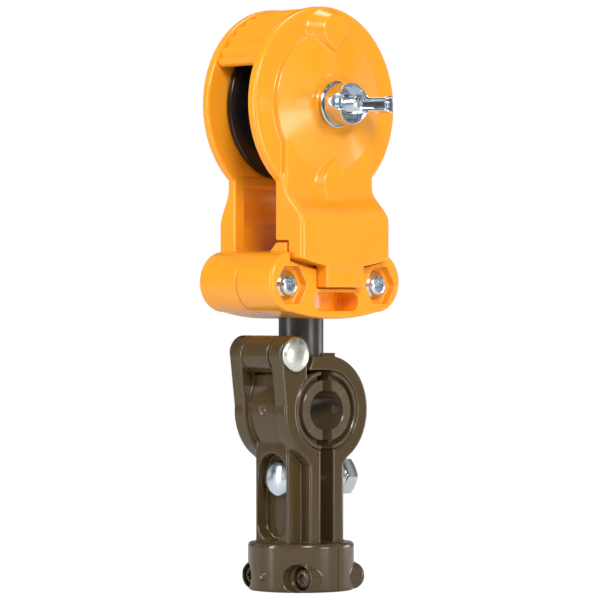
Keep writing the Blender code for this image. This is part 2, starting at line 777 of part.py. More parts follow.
def clamp_stack():
    """Where each washer, the nut and the bolt's end lie along X."""
    washer_start = RIGHT_BLOCK_REACH + TOUCH
    spring_start = washer_start + CLAMP_WASHER_THICKNESS + TOUCH
    nut_start = spring_start + SPRING_WASHER_THICKNESS + TOUCH
    return washer_start, spring_start, nut_start, nut_start + CLAMP_NUT_HEIGHT + BOLT_TAIL


def clamp_bolt():
    """Domed bolt with a plain shank; its head lies in the swing jaw's recess."""
    seat = -(RECESS_FLOOR + TOUCH)
    crown = seat - BOLT_HEAD_HEIGHT
    end = clamp_stack()[3]
    profile = [
        (0.0, end), (BOLT_RADIUS - SHANK_EDGE, end), (BOLT_RADIUS, end - SHANK_EDGE), (BOLT_RADIUS, seat),
        (BOLT_HEAD_RADIUS, seat), (BOLT_HEAD_RADIUS, seat - BOLT_HEAD_HEIGHT * 0.25),
        (BOLT_HEAD_RADIUS * 0.90, seat - BOLT_HEAD_HEIGHT * 0.58),
        (BOLT_HEAD_RADIUS * 0.65, seat - BOLT_HEAD_HEIGHT * 0.86),
        (BOLT_HEAD_RADIUS * 0.30, crown + BOLT_HEAD_HEIGHT * 0.03), (0.0, crown),
    ]
    return turned(profile, "X", (0.0, 0.0, BOLT_HEIGHT))


def clamp_nut():
    start = clamp_stack()[2]
    centre = (0.0, 0.0, BOLT_HEIGHT)
    body = hexagon("X", start, start + CLAMP_NUT_HEIGHT, CLAMP_NUT_FLATS, centre)
    corner = CLAMP_NUT_FLATS / math.sqrt(3)
    trim = CLAMP_NUT_FLATS * 0.06
    end = start + CLAMP_NUT_HEIGHT
    chamfer = turned(
        [
            (0.0, end), (corner - trim * 1.8, end), (corner, end - trim), (corner, start + trim),
            (corner - trim * 1.8, start), (0.0, start),
        ],
        "X", centre,
    )
    hole = rod("X", start - TOUCH, end + TOUCH, BOLT_RADIUS + THREAD_PLAY, centre)
    return cut(meet(body, chamfer), hole)


def collar_screw(way):
    """Round-headed screw with a star drive, its head on the left."""
    centre = (0.0, way * COLLAR_SCREW_OFFSET, COLLAR_SCREW_HEIGHT)
    seat = -(SCREW_SEAT + COLLAR_WASHER_THICKNESS + 2 * TOUCH)
    crown = seat - COLLAR_SCREW_HEAD_HEIGHT
    end = BOSS_RIGHT - BOSS_END_WALL - 2 * TOUCH
    head = COLLAR_SCREW_HEAD_RADIUS
    screw = turned(
        [
            (0.0, end), (COLLAR_SCREW_RADIUS, end), (COLLAR_SCREW_RADIUS, seat), (head, seat),
            (head, crown + COLLAR_SCREW_EDGE), (head - COLLAR_SCREW_EDGE, crown), (0.0, crown),
        ],
        "X", centre, SMALL_STEPS,
    )
    drive = plate([star_outline(centre[1:], DRIVE_RADIUS)], "X", crown - DRIVE_DEPTH, crown + DRIVE_DEPTH)
    return cut(screw, drive)


def collar_washer(way):
    centre = (0.0, way * COLLAR_SCREW_OFFSET, COLLAR_SCREW_HEIGHT)
    start = -(SCREW_SEAT + TOUCH + COLLAR_WASHER_THICKNESS)
    hole = COLLAR_SCREW_RADIUS + TOUCH
    return washer("X", start, COLLAR_WASHER_THICKNESS, COLLAR_WASHER_RADIUS, hole, centre, SMALL_STEPS)


def thread_insert(way):
    centre = (0.0, way * COLLAR_SCREW_OFFSET, COLLAR_SCREW_HEIGHT)
    length = BOSS_RIGHT - BOSS_END_WALL - INSERT_START
    bore = COLLAR_SCREW_RADIUS + THREAD_PLAY
    return washer("X", INSERT_START, length, INSERT_RADIUS, bore, centre, SMALL_STEPS)


# Stem

def stem():
    """Tube with a flange at its top that the base's two halves close around."""
    bore = STEM_RADIUS - STEM_WALL
    flange = STEM_TOP - STEM_FLANGE_THICKNESS
    return turned(
        [
            (bore, STEM_TOP), (STEM_FLANGE_RADIUS, STEM_TOP), (STEM_FLANGE_RADIUS, flange),
            (STEM_RADIUS, flange), (STEM_RADIUS, STEM_FOOT), (bore, STEM_FOOT),
        ],
        "Z",
    )


def thrust_washer():
    bore = STEM_RADIUS - STEM_WALL
    return washer("Z", STEM_TOP + TOUCH, THRUST_WASHER_THICKNESS, STEM_FLANGE_RADIUS, bore, (0.0, 0.0, 0.0))


def stem_cavity():
    """Space that the stem, its flange and the thrust washer turn in."""
    low = STEM_TOP - STEM_FLANGE_THICKNESS - RUN
    high = STEM_TOP + THRUST_WASHER_THICKNESS + RUN + TOUCH
    neck = rod("Z", BASE_FOOT - BASE_BELLY, low + RUN, STEM_RADIUS + RUN, steps=MEDIUM_STEPS)
    return neck, rod("Z", low, high, STEM_FLANGE_RADIUS + RUN, steps=MEDIUM_STEPS)


# Base block of the head

def base_outline():
    """Rounded ends, a flat top and a slightly bellied underside."""
    reach = BASE_HALF_WIDTH - BASE_END_RADIUS
    right = arc((reach, BASE_MIDDLE), BASE_END_RADIUS, -90, 90, 16)
    left = arc((-reach, BASE_MIDDLE), BASE_END_RADIUS, 90, 270, 16)
    belly = sagging(reach, BASE_MIDDLE - BASE_END_RADIUS, BASE_FOOT, 16)[::-1]
    return right + left + belly[1:-1]


def base_half(back, front):
    """Half of the base between two depths."""
    return plate([base_outline()], "Y", -front, -back, BASE_EDGE, 2)


def base_screw_holes(radius, start, end):
    holes = []
    for side in (-1, 1):
        holes.append(rod("Y", -end, -start, radius, (side * BASE_SCREW_X, 0.0, BASE_SCREW_HEIGHT)))
    return holes


def lobe_outline(grow=0.0):
    """Front outline of the cover's neck and lobe, with its shallow arc at the foot."""
    half = NECK_HALF_WIDTH + grow
    foot = sagging(half, LOBE_SIDE_FOOT - grow, LOBE_MIDDLE_FOOT - grow, 12)[::-1]
    return foot + [(half, AXLE_HEIGHT), (-half, AXLE_HEIGHT)]


def front_base():
    """Front half of the base: screw pockets, window, and the seat of the cover's lobe and tab."""
    body = base_half(BASE_SEAM / 2, BASE_FRONT)
    slope_end = STEP_START + STEP_SLOPE
    profile = [
        (-STEP_START, BASE_TOP - BASE_EDGE), (-STEP_START, BASE_TOP), (-slope_end, STEP_TOP),
        (-(LOBE_BACK - LOBE_GAP), STEP_TOP), (-(LOBE_BACK - LOBE_GAP), BASE_TOP - BASE_EDGE),
    ]
    body = join(body, plate([profile], "X", -NECK_HALF_WIDTH, NECK_HALF_WIDTH))
    seat = plate([lobe_outline(LOBE_GAP)], "Y", -BASE_FRONT * 2, -(LOBE_BACK - LOBE_GAP))
    low = TAB_FOOT - TAB_GAP
    half = TAB_HALF_WIDTH + TAB_GAP
    notch = box((-half, -BASE_FRONT * 2, low), (half, -(TAB_BACK - TAB_GAP), BASE_TOP))
    pockets = []
    for side in (-1, 1):
        centre = (side * BASE_SCREW_X, 0.0, BASE_SCREW_HEIGHT)
        pockets.append(hexagon("Y", -BASE_FRONT * 2, -SCREW_POCKET_FLOOR, BASE_POCKET_FLATS, centre))
    window = plate(
        [slot_outline((0.0, WINDOW_MIDDLE), WINDOW_WIDTH, WINDOW_HEIGHT)], "Y", -BASE_FRONT * 2, -WINDOW_BACK
    )
    core = rod("Z", BASE_FOOT, BASE_TOP, STEM_BOSS_RADIUS, steps=MEDIUM_STEPS)
    holes = base_screw_holes(BASE_SCREW_RADIUS + TOUCH, -BASE_SEAM, BASE_FRONT)
    return cut(body, seat, notch, *pockets, cut(window, core), *stem_cavity(), *holes)


def base_screw(side):
    """Flanged round-headed screw with a star drive."""
    seat = SCREW_POCKET_FLOOR + TOUCH
    rim = seat + BASE_SCREW_FLANGE
    crown = seat + BASE_SCREW_HEAD_HEIGHT
    edge = BASE_SCREW_EDGE
    tail = -(BASE_BACK - BASE_NUT_DEPTH + BASE_NUT_HEIGHT)
    centre = (side * BASE_SCREW_X, 0.0, BASE_SCREW_HEIGHT)
    screw = turned(
        [
            (0.0, crown), (DRIVE_RADIUS + edge, crown),
            (BASE_SCREW_DOME_RADIUS - edge, crown + BASE_SCREW_FLANGE - BASE_SCREW_CROWN),
            (BASE_SCREW_DOME_RADIUS, rim), (BASE_SCREW_HEAD_RADIUS - edge, rim),
            (BASE_SCREW_HEAD_RADIUS, rim - edge), (BASE_SCREW_HEAD_RADIUS, seat),
            (BASE_SCREW_RADIUS, seat), (BASE_SCREW_RADIUS, tail), (0.0, tail),
        ],
        "Y", centre, SMALL_STEPS,
    )
    star = star_outline((centre[0], centre[2]), DRIVE_RADIUS)
    return cut(screw, plate([star], "Y", -crown - DRIVE_DEPTH, -crown + DRIVE_DEPTH))


def base_nut(side):
    centre = (side * BASE_SCREW_X, 0.0, BASE_SCREW_HEIGHT)
    start = BASE_BACK - BASE_NUT_DEPTH + TOUCH
    nut = hexagon("Y", start, start + BASE_NUT_HEIGHT, BASE_NUT_FLATS, centre)
    hole = rod("Y", start - TOUCH, start + BASE_NUT_HEIGHT + TOUCH, BASE_SCREW_RADIUS + THREAD_PLAY, centre)
    return cut(nut, hole)


# Rear body

def swell(height, low, high, start, end):
    """Smooth change from start, at or above the height high, to end, at or below the height low."""
    share = min(1.0, max(0.0, (high - height) / (high - low)))
    share = share * share * (3.0 - 2.0 * share)
    return start + (end - start) * share


def arm_back(height, wall=0.0):
    """Depth of the rear arm's back face, as a positive distance behind the plane Y = 0."""
    return swell(height, ARM_FLARE_FOOT, ARM_FLARE_TOP, ARM_OUTER, ARM_OUTER + ARM_FLARE) - wall


def arm_profile(front, low, high, wall=0.0, steps=10):
    heights = [low + (high - low) * i / steps for i in range(steps + 1)]
    return [(front, low)] + [(arm_back(z, wall), z) for z in heights] + [(front, high)]


def rear_body():
    """Rear disc, arm and rear half of the base, moulded as one."""
    edge = DISC_EDGE
    inner = -REAR_DISC_INNER
    outer = -REAR_DISC_OUTER
    disc = turned(
        [
            (0.0, inner), (DISC_RADIUS - edge / 2, inner), (DISC_RADIUS, inner - edge / 2),
            (DISC_RADIUS, outer + edge), (DISC_RADIUS - edge * 0.3, outer + edge * 0.3),
            (DISC_RADIUS - edge, outer), (PLATEAU_RADIUS, outer),
            (PLATEAU_RADIUS - PLATEAU_RISE / 2, outer - PLATEAU_RISE),
            (REAR_HUB_RADIUS + PLATEAU_RISE, outer - PLATEAU_RISE), (REAR_HUB_RADIUS, -REAR_FACE + edge / 2),
            (REAR_HUB_RADIUS - edge / 2, -REAR_FACE), (0.0, -REAR_FACE),
        ],
        "Y", (0.0, 0.0, AXLE_HEIGHT), FINE_STEPS,
    )
    arm_top = AXLE_HEIGHT - PLATEAU_RADIUS
    foot = BASE_TOP - BASE_END_RADIUS / 2
    arm = plate([arm_profile(ARM_INNER, foot, arm_top)], "X", -NECK_HALF_WIDTH, NECK_HALF_WIDTH, JAW_EDGE)
    base = base_half(-BASE_BACK, -BASE_SEAM / 2)
    pocket = plate(
        [arm_profile(0.0, BASE_TOP + TOUCH, ARM_POCKET_TOP, ARM_WALL)],
        "X", -ARM_POCKET_HALF_WIDTH, ARM_POCKET_HALF_WIDTH,
    )
    body = join(disc, arm, base)
    head = hexagon("Y", HEAD_POCKET_FLOOR, BASE_BACK * 2, AXLE_HEAD_FLATS + 2 * TOUCH, (0.0, 0.0, AXLE_HEIGHT))
    axle = rod("Y", 0.0, BASE_BACK, AXLE_RADIUS + TOUCH, (0.0, 0.0, AXLE_HEIGHT))
    cutters = [pocket, head, axle, *stem_cavity()]
    cutters += base_screw_holes(BASE_SCREW_RADIUS + TOUCH, -BASE_BACK, BASE_SEAM)
    for side in (-1, 1):
        centre = (side * BASE_SCREW_X, 0.0, BASE_SCREW_HEIGHT)
        start = BASE_BACK - BASE_NUT_DEPTH
        cutters.append(hexagon("Y", start, BASE_BACK * 2, BASE_NUT_FLATS + 2 * TOUCH, centre))
    return cut(body, *cutters)


def axle_bolt():
    """Hexagon bolt whose head lies in the rear body's pocket."""
    seat = -(HEAD_POCKET_FLOOR + TOUCH)
    edge = SHANK_EDGE
    shank = turned(
        [
            (0.0, AXLE_END), (AXLE_RADIUS - edge, AXLE_END), (AXLE_RADIUS, AXLE_END - edge),
            (AXLE_RADIUS, seat - TOUCH), (0.0, seat - TOUCH),
        ],
        "Y", (0.0, 0.0, AXLE_HEIGHT), SMALL_STEPS,
    )
    head = hexagon("Y", -seat, -seat + AXLE_HEAD_HEIGHT, AXLE_HEAD_FLATS, (0.0, 0.0, AXLE_HEIGHT))
    return join(head, shank)


def axle_sleeve():
    start = -(REAR_DISC_INNER - TOUCH)
    length = REAR_DISC_INNER + FRONT_DISC_INNER - 2 * TOUCH
    return washer("Y", start, length, SLEEVE_RADIUS, AXLE_RADIUS + TOUCH, (0.0, 0.0, AXLE_HEIGHT))


def wheel_ends():
    """Depths of the wheel's back and front face."""
    return -(REAR_DISC_INNER - 2 * RUN), FRONT_DISC_INNER - 2 * RUN


def wheel():
    """Grooved wheel: two flanges with a round-bottomed groove between them."""
    back, front = wheel_ends()
    middle = (back + front) / 2
    half = (front - back) / 2
    tilt = math.atan2(half - WHEEL_RIM - GROOVE_ROUND, WHEEL_RADIUS - GROOVE_FLOOR_RADIUS - GROOVE_ROUND)
    floor = (GROOVE_FLOOR_RADIUS + GROOVE_ROUND, middle)
    groove = []
    for i in range(9):
        angle = math.radians(90 - math.degrees(tilt)) * (1 - i / 4)
        groove.append((floor[0] - GROOVE_ROUND * math.cos(angle), floor[1] + GROOVE_ROUND * math.sin(angle)))
    rim = WHEEL_RADIUS
    bore = BUSH_RADIUS + TOUCH
    dish = WHEEL_DISH
    web = WHEEL_HUB_RADIUS
    outer = rim - 4 * dish
    profile = [
        (bore, front), (web, front), (web + dish, front - dish), (outer - dish, front - dish), (outer, front),
        (rim - dish / 2, front), (rim, front - dish / 2), (rim, front - WHEEL_RIM + dish / 2),
        *groove,
        (rim, back + WHEEL_RIM - dish / 2), (rim, back + dish / 2), (rim - dish / 2, back),
        (outer, back), (outer - dish, back + dish), (web + dish, back + dish), (web, back), (bore, back),
    ]
    return turned(profile, "Y", (0.0, 0.0, AXLE_HEIGHT), FINE_STEPS)


def wheel_bush():
    back, front = wheel_ends()
    return washer("Y", back, front - back, BUSH_RADIUS, SLEEVE_RADIUS + RUN, (0.0, 0.0, AXLE_HEIGHT))


# Front cover

def cover_disc():
    """Front disc with its stepped cone, the washer's seat and a hub on its inner side."""
    edge = DISC_EDGE
    inner = FRONT_DISC_INNER
    wall = SHELL_WALL
    hollow = PLATEAU_RADIUS - wall
    return turned(
        [
            (0.0, COVER_FACE), (WASHER_SEAT_RADIUS, COVER_FACE), (WASHER_SEAT_RADIUS + edge / 4, CONE_TOP),
            (CONE_TOP_RADIUS + edge, CONE_TOP - edge / 8), (PLATEAU_RADIUS - edge, PLATEAU),
            (PLATEAU_RADIUS, PLATEAU - edge * 0.4), (PLATEAU_RADIUS + edge / 2, FRONT_DISC_OUTER),
            (DISC_RADIUS - edge, FRONT_DISC_OUTER), (DISC_RADIUS - edge * 0.3, FRONT_DISC_OUTER - edge * 0.3),
            (DISC_RADIUS, FRONT_DISC_OUTER - edge), (DISC_RADIUS, inner + edge / 2),
            (DISC_RADIUS - edge / 2, inner), (hollow, inner), (hollow, PLATEAU - wall),
            (CONE_TOP_RADIUS, CONE_TOP - wall), (HUB_RADIUS, CONE_TOP - wall), (HUB_RADIUS, inner), (0.0, inner),
        ],
        "Y", (0.0, 0.0, AXLE_HEIGHT), FINE_STEPS,
    )


def neck_front(height, wall=0.0):
    """Depth of the cover's front face on its neck and lobe."""
    return swell(height, LOBE_TOP, SWELL_TOP, NECK_FRONT, LOBE_FRONT) - wall


def neck_profile(back, low, high, wall=0.0, steps=14):
    heights = [low + (high - low) * i / steps for i in range(steps + 1)]
    front = [(-neck_front(z, wall), z) for z in heights]
    return [(-back, low)] + front + [(-back, high)]


def cover_neck():
    """Neck that swells forward into the lobe, with side skirts, cut to its arc at the foot."""
    half = NECK_HALF_WIDTH
    top = AXLE_HEIGHT - CONE_TOP_RADIUS
    foot = LOBE_MIDDLE_FOOT - LOBE_EDGE
    neck = plate([neck_profile(NECK_BACK, foot, top)], "X", -half, half, LOBE_EDGE, 2)
    front = plate([lobe_outline()], "Y", -LOBE_FRONT * 2, 0.0)
    behind = box((-2 * half, -LOBE_BACK, foot - half), (2 * half, half, SKIRT_FOOT))
    hollow = plate(
        [neck_profile(0.0, SKIRT_FOOT - TOUCH, AXLE_HEIGHT - PLATEAU_RADIUS, SHELL_WALL)],
        "X", -half + SHELL_WALL, half - SHELL_WALL,
    )
    return cut(meet(neck, front), behind, hollow)


def bridge_sections():
    """Angle, inner radius and outer radius all along the ribbed bridge, whose two ends are rounded."""
    half = BRIDGE_THICKNESS / 2
    middle = DISC_RADIUS - BRIDGE_INSET - half
    end_turn = math.degrees(half / middle)
    sections = []
    for share in END_SHARES:
        height = half * math.sqrt(1.0 - (1.0 - share) ** 2)
        sections.append((BRIDGE_START - end_turn * (1.0 - share), middle - height, middle + height))
    span = 180.0 - 2 * BRIDGE_START
    steps = RIB_COUNT * RIB_STEPS
    for i in range(steps + 1):
        wave = abs(math.sin(math.pi * RIB_COUNT * i / steps))
        sections.append((BRIDGE_START + span * i / steps, middle - half, middle + half - RIB_DEPTH * (1.0 - wave)))
    return sections + [(180.0 - angle, low, high) for angle, low, high in reversed(sections[:len(END_SHARES)])]


def bridge():
    """Ribbed bridge that closes the head over the wheel."""
    shape = bmesh.new()
    rings = []
    for angle, low, high in bridge_sections():
        across, up = math.cos(math.radians(angle)), math.sin(math.radians(angle))
        ring = []
        for radius, depth in ((high, FRONT_DISC_INNER + TOUCH), (high, RUN - REAR_DISC_INNER),
                              (low, RUN - REAR_DISC_INNER), (low, FRONT_DISC_INNER + TOUCH)):
            ring.append(shape.verts.new((radius * across, -depth, AXLE_HEIGHT + radius * up)))
        rings.append(ring)
    for first, second in zip(rings, rings[1:]):
        for k in range(4):
            shape.faces.new((first[k], first[k - 1], second[k - 1], second[k]))
    shape.faces.new(rings[0])
    shape.faces.new(rings[-1])
    return from_bmesh("bridge", shape)


def pad_outline(half, tip, end, steps=16):
    """Teardrop outline that starts at its tip; heights are measured from the axle."""
    right = []
    for i in range(steps + 1):
        share = 0.5 - 0.5 * math.cos(math.pi * i / steps)
        if share < PAD_SHOULDER:
            width = math.sin(math.pi / 2 * share / PAD_SHOULDER) ** 0.9
        else:
            width = math.sqrt(max(0.0, 1.0 - ((share - PAD_SHOULDER) / (1.0 - PAD_SHOULDER)) ** 2))
        right.append((half * width, AXLE_HEIGHT + tip + (end - tip) * share))
    return right + [(-u, v) for u, v in reversed(right[1:-1])]


def finger_pad(tip, end):
    """Raised pad with sloping flanks, on the cover's centre line, pointed towards the axle."""
    way = math.copysign(PAD_FLANK / 2, end - tip)
    base = pad_outline(PAD_HALF_WIDTH, tip, end)
    top = pad_outline(PAD_HALF_WIDTH - PAD_FLANK, tip + way, end - way)
    shape = bmesh.new()
    back = [shape.verts.new((u, -FRONT_DISC_OUTER + TOUCH, v)) for u, v in base]
    front = [shape.verts.new((u, -(FRONT_DISC_OUTER + PAD_RISE), v)) for u, v in top]
    count = len(back)
    for i in range(count):
        j = (i + 1) % count
        shape.faces.new((back[i], back[j], front[j], front[i]))
    shape.faces.new(back)
    shape.faces.new(front[::-1])
    return from_bmesh("pad", shape)


def front_cover():
    """Cover that leans forward on its tab once the wing nut is backed off."""
    tab = plate(
        [[(-TAB_HALF_WIDTH, TAB_FOOT), (TAB_HALF_WIDTH, TAB_FOOT),
          (TAB_HALF_WIDTH, LOBE_SIDE_FOOT), (-TAB_HALF_WIDTH, LOBE_SIDE_FOOT)]],
        "Y", -TAB_FRONT, -TAB_BACK, JAW_EDGE,
    )
    body = join(cover_disc(), cover_neck())
    upper = finger_pad(PAD_TIP_RADIUS, DISC_RADIUS - UPPER_PAD_INSET)
    lower = finger_pad(-PAD_TIP_RADIUS, -DISC_RADIUS - LOWER_PAD_REACH)
    body = join(body, lower, upper, tab, bridge())
    hole = rod("Y", -2 * COVER_FACE, 0.0, COVER_HOLE_RADIUS, (0.0, 0.0, AXLE_HEIGHT), MEDIUM_STEPS)
    return cut(body, hole)


# Wing nut and its washer

def wing_stack():
    """Depths at which the wing nut's washer and the nut itself start."""
    washer_start = COVER_FACE + TOUCH
    return washer_start, washer_start + WING_WASHER_THICKNESS + TOUCH


def wing_washer():
    start = wing_stack()[0]
    hole = AXLE_RADIUS + TOUCH
    return washer("Y", start, WING_WASHER_THICKNESS, WING_WASHER_RADIUS, hole, (0.0, 0.0, AXLE_HEIGHT))


def wing(side):
    """One wing: it rises forward and outward from the hub to a rounded tip."""
    start = wing_stack()[1]
    tip = (WING_SPAN - WING_ROUND, start + WING_RISE - WING_ROUND)
    root = WING_HUB_TOP_RADIUS - WING_ROOT
    points = [(root, start + WING_FOOT * 0.7), (WING_HUB_RADIUS, start + WING_FOOT)]
    points += arc(tip, WING_ROUND, -35, 125, 8)
    points += [(WING_HUB_TOP_RADIUS + WING_EDGE, start + WING_HUB_HEIGHT - WING_EDGE),
               (root, start + WING_HUB_HEIGHT - WING_ROOT)]
    outline = [(side * u, -v) for u, v in points]
    if side > 0:
        outline.reverse()
    half = WING_THICKNESS / 2
    return plate([outline], "Z", AXLE_HEIGHT - half, AXLE_HEIGHT + half, WING_EDGE)


def wing_nut():
    """Wing nut with a conical hub."""
    start = wing_stack()[1]
    top = start + WING_HUB_HEIGHT
    edge = WING_EDGE / 2
    hub = turned(
        [
            (0.0, top), (WING_HUB_TOP_RADIUS - edge, top), (WING_HUB_TOP_RADIUS, top - edge),
            (WING_HUB_TOP_RADIUS + WING_EDGE, start + WING_HUB_HEIGHT * 0.55),
            (WING_HUB_RADIUS, start + WING_FOOT / 2), (WING_HUB_RADIUS, start), (0.0, start),
        ],
        "Y", (0.0, 0.0, AXLE_HEIGHT),
    )
    nut = join(hub, wing(-1), wing(1))
    hole = rod("Y", -2 * top, 0.0, AXLE_RADIUS + THREAD_PLAY, (0.0, 0.0, AXLE_HEIGHT))
    return cut(nut, hole)


# Assembly: each sub-part with its name, colour, roughness, metallic value and the origin on its axis

HINGE_ORIGIN = (HINGE_X, 0.0, HINGE_HEIGHT)
AXLE_ORIGIN = (0.0, 0.0, AXLE_HEIGHT)
BOLT_ORIGIN = (0.0, 0.0, BOLT_HEIGHT)
TAB_ORIGIN = (0.0, -TAB_PIVOT, TAB_FOOT)
STEM_ORIGIN = (0.0, 0.0, STEM_FOOT)


def place(name, solid, colour, roughness, metallic=0.0, origin=(0.0, 0.0, 0.0)):
    return node(solid, name, paint(name, colour, roughness, metallic), origin)


def build_clamp():
    """Everything below the stem, and the stem itself."""
    centre = (0.0, 0.0, BOLT_HEIGHT)
    washer_start, spring_start = clamp_stack()[:2]
    bore = BOLT_RADIUS + TOUCH
    place("fixed_jaw", fixed_jaw(), BROWN, 0.42)
    place("swing_jaw", swing_jaw(), BROWN, 0.42, origin=HINGE_ORIGIN)
    for side, word in ((-1, "left"), (1, "right")):
        origin = HINGE_ORIGIN if side < 0 else (0.0, 0.0, 0.0)
        place("outer_liner_" + word, outer_liner(side), BROWN, 0.38, origin=origin)
        place("inner_liner_" + word, inner_liner(side), BROWN, 0.45, origin=origin)
    place("hinge_pin", hinge_pin(), ZINC, 0.30, 1.0, HINGE_ORIGIN)
    place("hinge_clip", hinge_clip(), ZINC, 0.35, 1.0, HINGE_ORIGIN)
    place("clamp_bolt", clamp_bolt(), ZINC, 0.28, 1.0, BOLT_ORIGIN)
    flat = washer("X", washer_start, CLAMP_WASHER_THICKNESS, CLAMP_WASHER_RADIUS, bore, centre)
    place("clamp_washer", flat, ZINC, 0.30, 1.0, BOLT_ORIGIN)
    spring = washer("X", spring_start, SPRING_WASHER_THICKNESS, SPRING_WASHER_RADIUS, bore, centre)
    place("clamp_spring_washer", spring, ZINC, 0.35, 1.0, BOLT_ORIGIN)
    place("clamp_nut", clamp_nut(), ZINC, 0.28, 1.0, BOLT_ORIGIN)
    for way, word in ((-1, "front"), (1, "back")):
        origin = (0.0, way * COLLAR_SCREW_OFFSET, COLLAR_SCREW_HEIGHT)
        place("collar_screw_" + word, collar_screw(way), BROWN, 0.35, 1.0, origin)
        place("collar_washer_" + word, collar_washer(way), BROWN, 0.35, 1.0, origin)
        place("thread_insert_" + word, thread_insert(way), BRONZE, 0.35, 1.0, origin)
    place("stem", stem(), BLACK, 0.35, 0.0, STEM_ORIGIN)
    place("thrust_washer", thrust_washer(), NYLON, 0.5, 0.0, STEM_ORIGIN)


def build_head():
    """Everything that swivels on the stem."""
    place("rear_body", rear_body(), ORANGE, 0.25, origin=STEM_ORIGIN)
    place("front_base", front_base(), ORANGE, 0.25, origin=STEM_ORIGIN)
    for side, word in ((-1, "left"), (1, "right")):
        place("base_screw_" + word, base_screw(side), ZINC, 0.25, 1.0, STEM_ORIGIN)
        place("base_nut_" + word, base_nut(side), ZINC, 0.35, 1.0, STEM_ORIGIN)
    place("axle_bolt", axle_bolt(), ZINC, 0.28, 1.0, AXLE_ORIGIN)
    place("axle_sleeve", axle_sleeve(), ZINC, 0.25, 1.0, AXLE_ORIGIN)
    place("wheel_bush", wheel_bush(), BRONZE, 0.4, 1.0, AXLE_ORIGIN)
    place("wheel", wheel(), BLACK, 0.22, origin=AXLE_ORIGIN)
    place("front_cover", front_cover(), ORANGE, 0.25, origin=TAB_ORIGIN)
    place("wing_washer", wing_washer(), ZINC, 0.22, 1.0, AXLE_ORIGIN)
    place("wing_nut", wing_nut(), ZINC, 0.20, 1.0, AXLE_ORIGIN)


build_clamp()
build_head()
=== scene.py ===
"""Looks of the cable pulley: finer pieces over the solids, materials, light and the photograph's camera."""
import math

import bmesh
import bpy
from mathutils import Matrix, Vector


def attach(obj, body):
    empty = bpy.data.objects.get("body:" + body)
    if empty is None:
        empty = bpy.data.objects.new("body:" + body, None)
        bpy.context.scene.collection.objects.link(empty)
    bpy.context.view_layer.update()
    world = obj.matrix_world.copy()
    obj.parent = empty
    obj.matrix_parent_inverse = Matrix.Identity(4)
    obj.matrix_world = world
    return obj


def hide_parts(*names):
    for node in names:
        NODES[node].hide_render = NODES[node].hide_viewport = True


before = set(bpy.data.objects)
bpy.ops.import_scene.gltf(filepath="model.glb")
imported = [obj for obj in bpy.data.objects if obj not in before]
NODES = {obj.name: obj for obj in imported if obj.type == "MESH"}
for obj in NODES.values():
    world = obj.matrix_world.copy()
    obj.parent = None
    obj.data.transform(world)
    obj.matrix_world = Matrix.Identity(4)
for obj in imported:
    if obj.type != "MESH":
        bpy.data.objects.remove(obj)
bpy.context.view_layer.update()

# Roundness of turned pieces and the size of the remeshing cells
ROUND = 180
MEDIUM = 120
SMALL = 80
ARC_FINE = 3
CELL = 0.00042

# Clearances
TOUCH = 0.0003            # gap that two resting faces keep
RUN = 0.0004              # gap around a piece that turns
THREAD_PLAY = 0.0005      # gap between a plain shank and the plain bore of its nut

# Collar that grips the pole
COLLAR_RADIUS = 0.0252
COLLAR_HEIGHT = 0.0228
POLE_BORE_RADIUS = 0.0130
COLLAR_ROOF = 0.0040
COLLAR_EDGE = 0.0014
SEAM = 0.0004

# Jaws
JAW_HALF_DEPTH = 0.0176
BLOCK_HALF_DEPTH = 0.0110
LEFT_BLOCK_REACH = 0.0195
RIGHT_BLOCK_REACH = 0.0180
BLOCK_TOP = 0.0731
NECK_REACH = 0.0109
SLOT_WIDTH = 0.0084
SLIT = 0.0008                # gap under the hinge ears
JAW_EDGE = 0.0007
OVERLAP = 0.0002            # how far joined shapes run past or stay short of each other
WELD = 0.000002             # points closer than this become one
FINE = 0.0002               # chamfers of small metal pieces
EDGE = 0.0003

# Cable bore and its liners
BORE_HEIGHT = 0.0853
HALF_SHIFT = 0.00175
JAW_RING_RADIUS = 0.0256
WEB_RADIUS = 0.0230
WEB_FLAT_ANGLE = 30.0
OUTER_LINER_RADIUS = 0.0184
INNER_LINER_RADIUS = 0.0142
BORE_RADIUS = 0.0092
OUTER_LINER_SLOT = 0.0078
INNER_LINER_SLOT = 0.0061
LINER_GROOVE_DEPTH = 0.0030
LINER_GROOVE_WIDTH = 0.0024
LINER_EDGE = 0.0004
LINER_DIMPLE = (0.0018, 0.0004)    # radius and depth
LINER_DIMPLE_PLACE = 0.0089        # in front of the bore's middle

# Hinge between the jaws
HINGE_X = -0.0219
HINGE_HEIGHT = 0.1118
HINGE_RADIUS = 0.0088
HINGE_RELIEF_RADIUS = 0.0126
KNUCKLE_HALF_LENGTH = 0.0086
PIN_RADIUS = 0.0040
PIN_HEAD_RADIUS = 0.0082
PIN_HEAD_HEIGHT = 0.0034
CLIP_RADIUS = 0.0068
CLIP_THICKNESS = 0.0012
PIN_TAIL = 0.0015
PIN_TAIL_EDGE = 0.0006
PIN_GROOVE_DEPTH = 0.0007
PIN_HEAD_RIM = 0.30

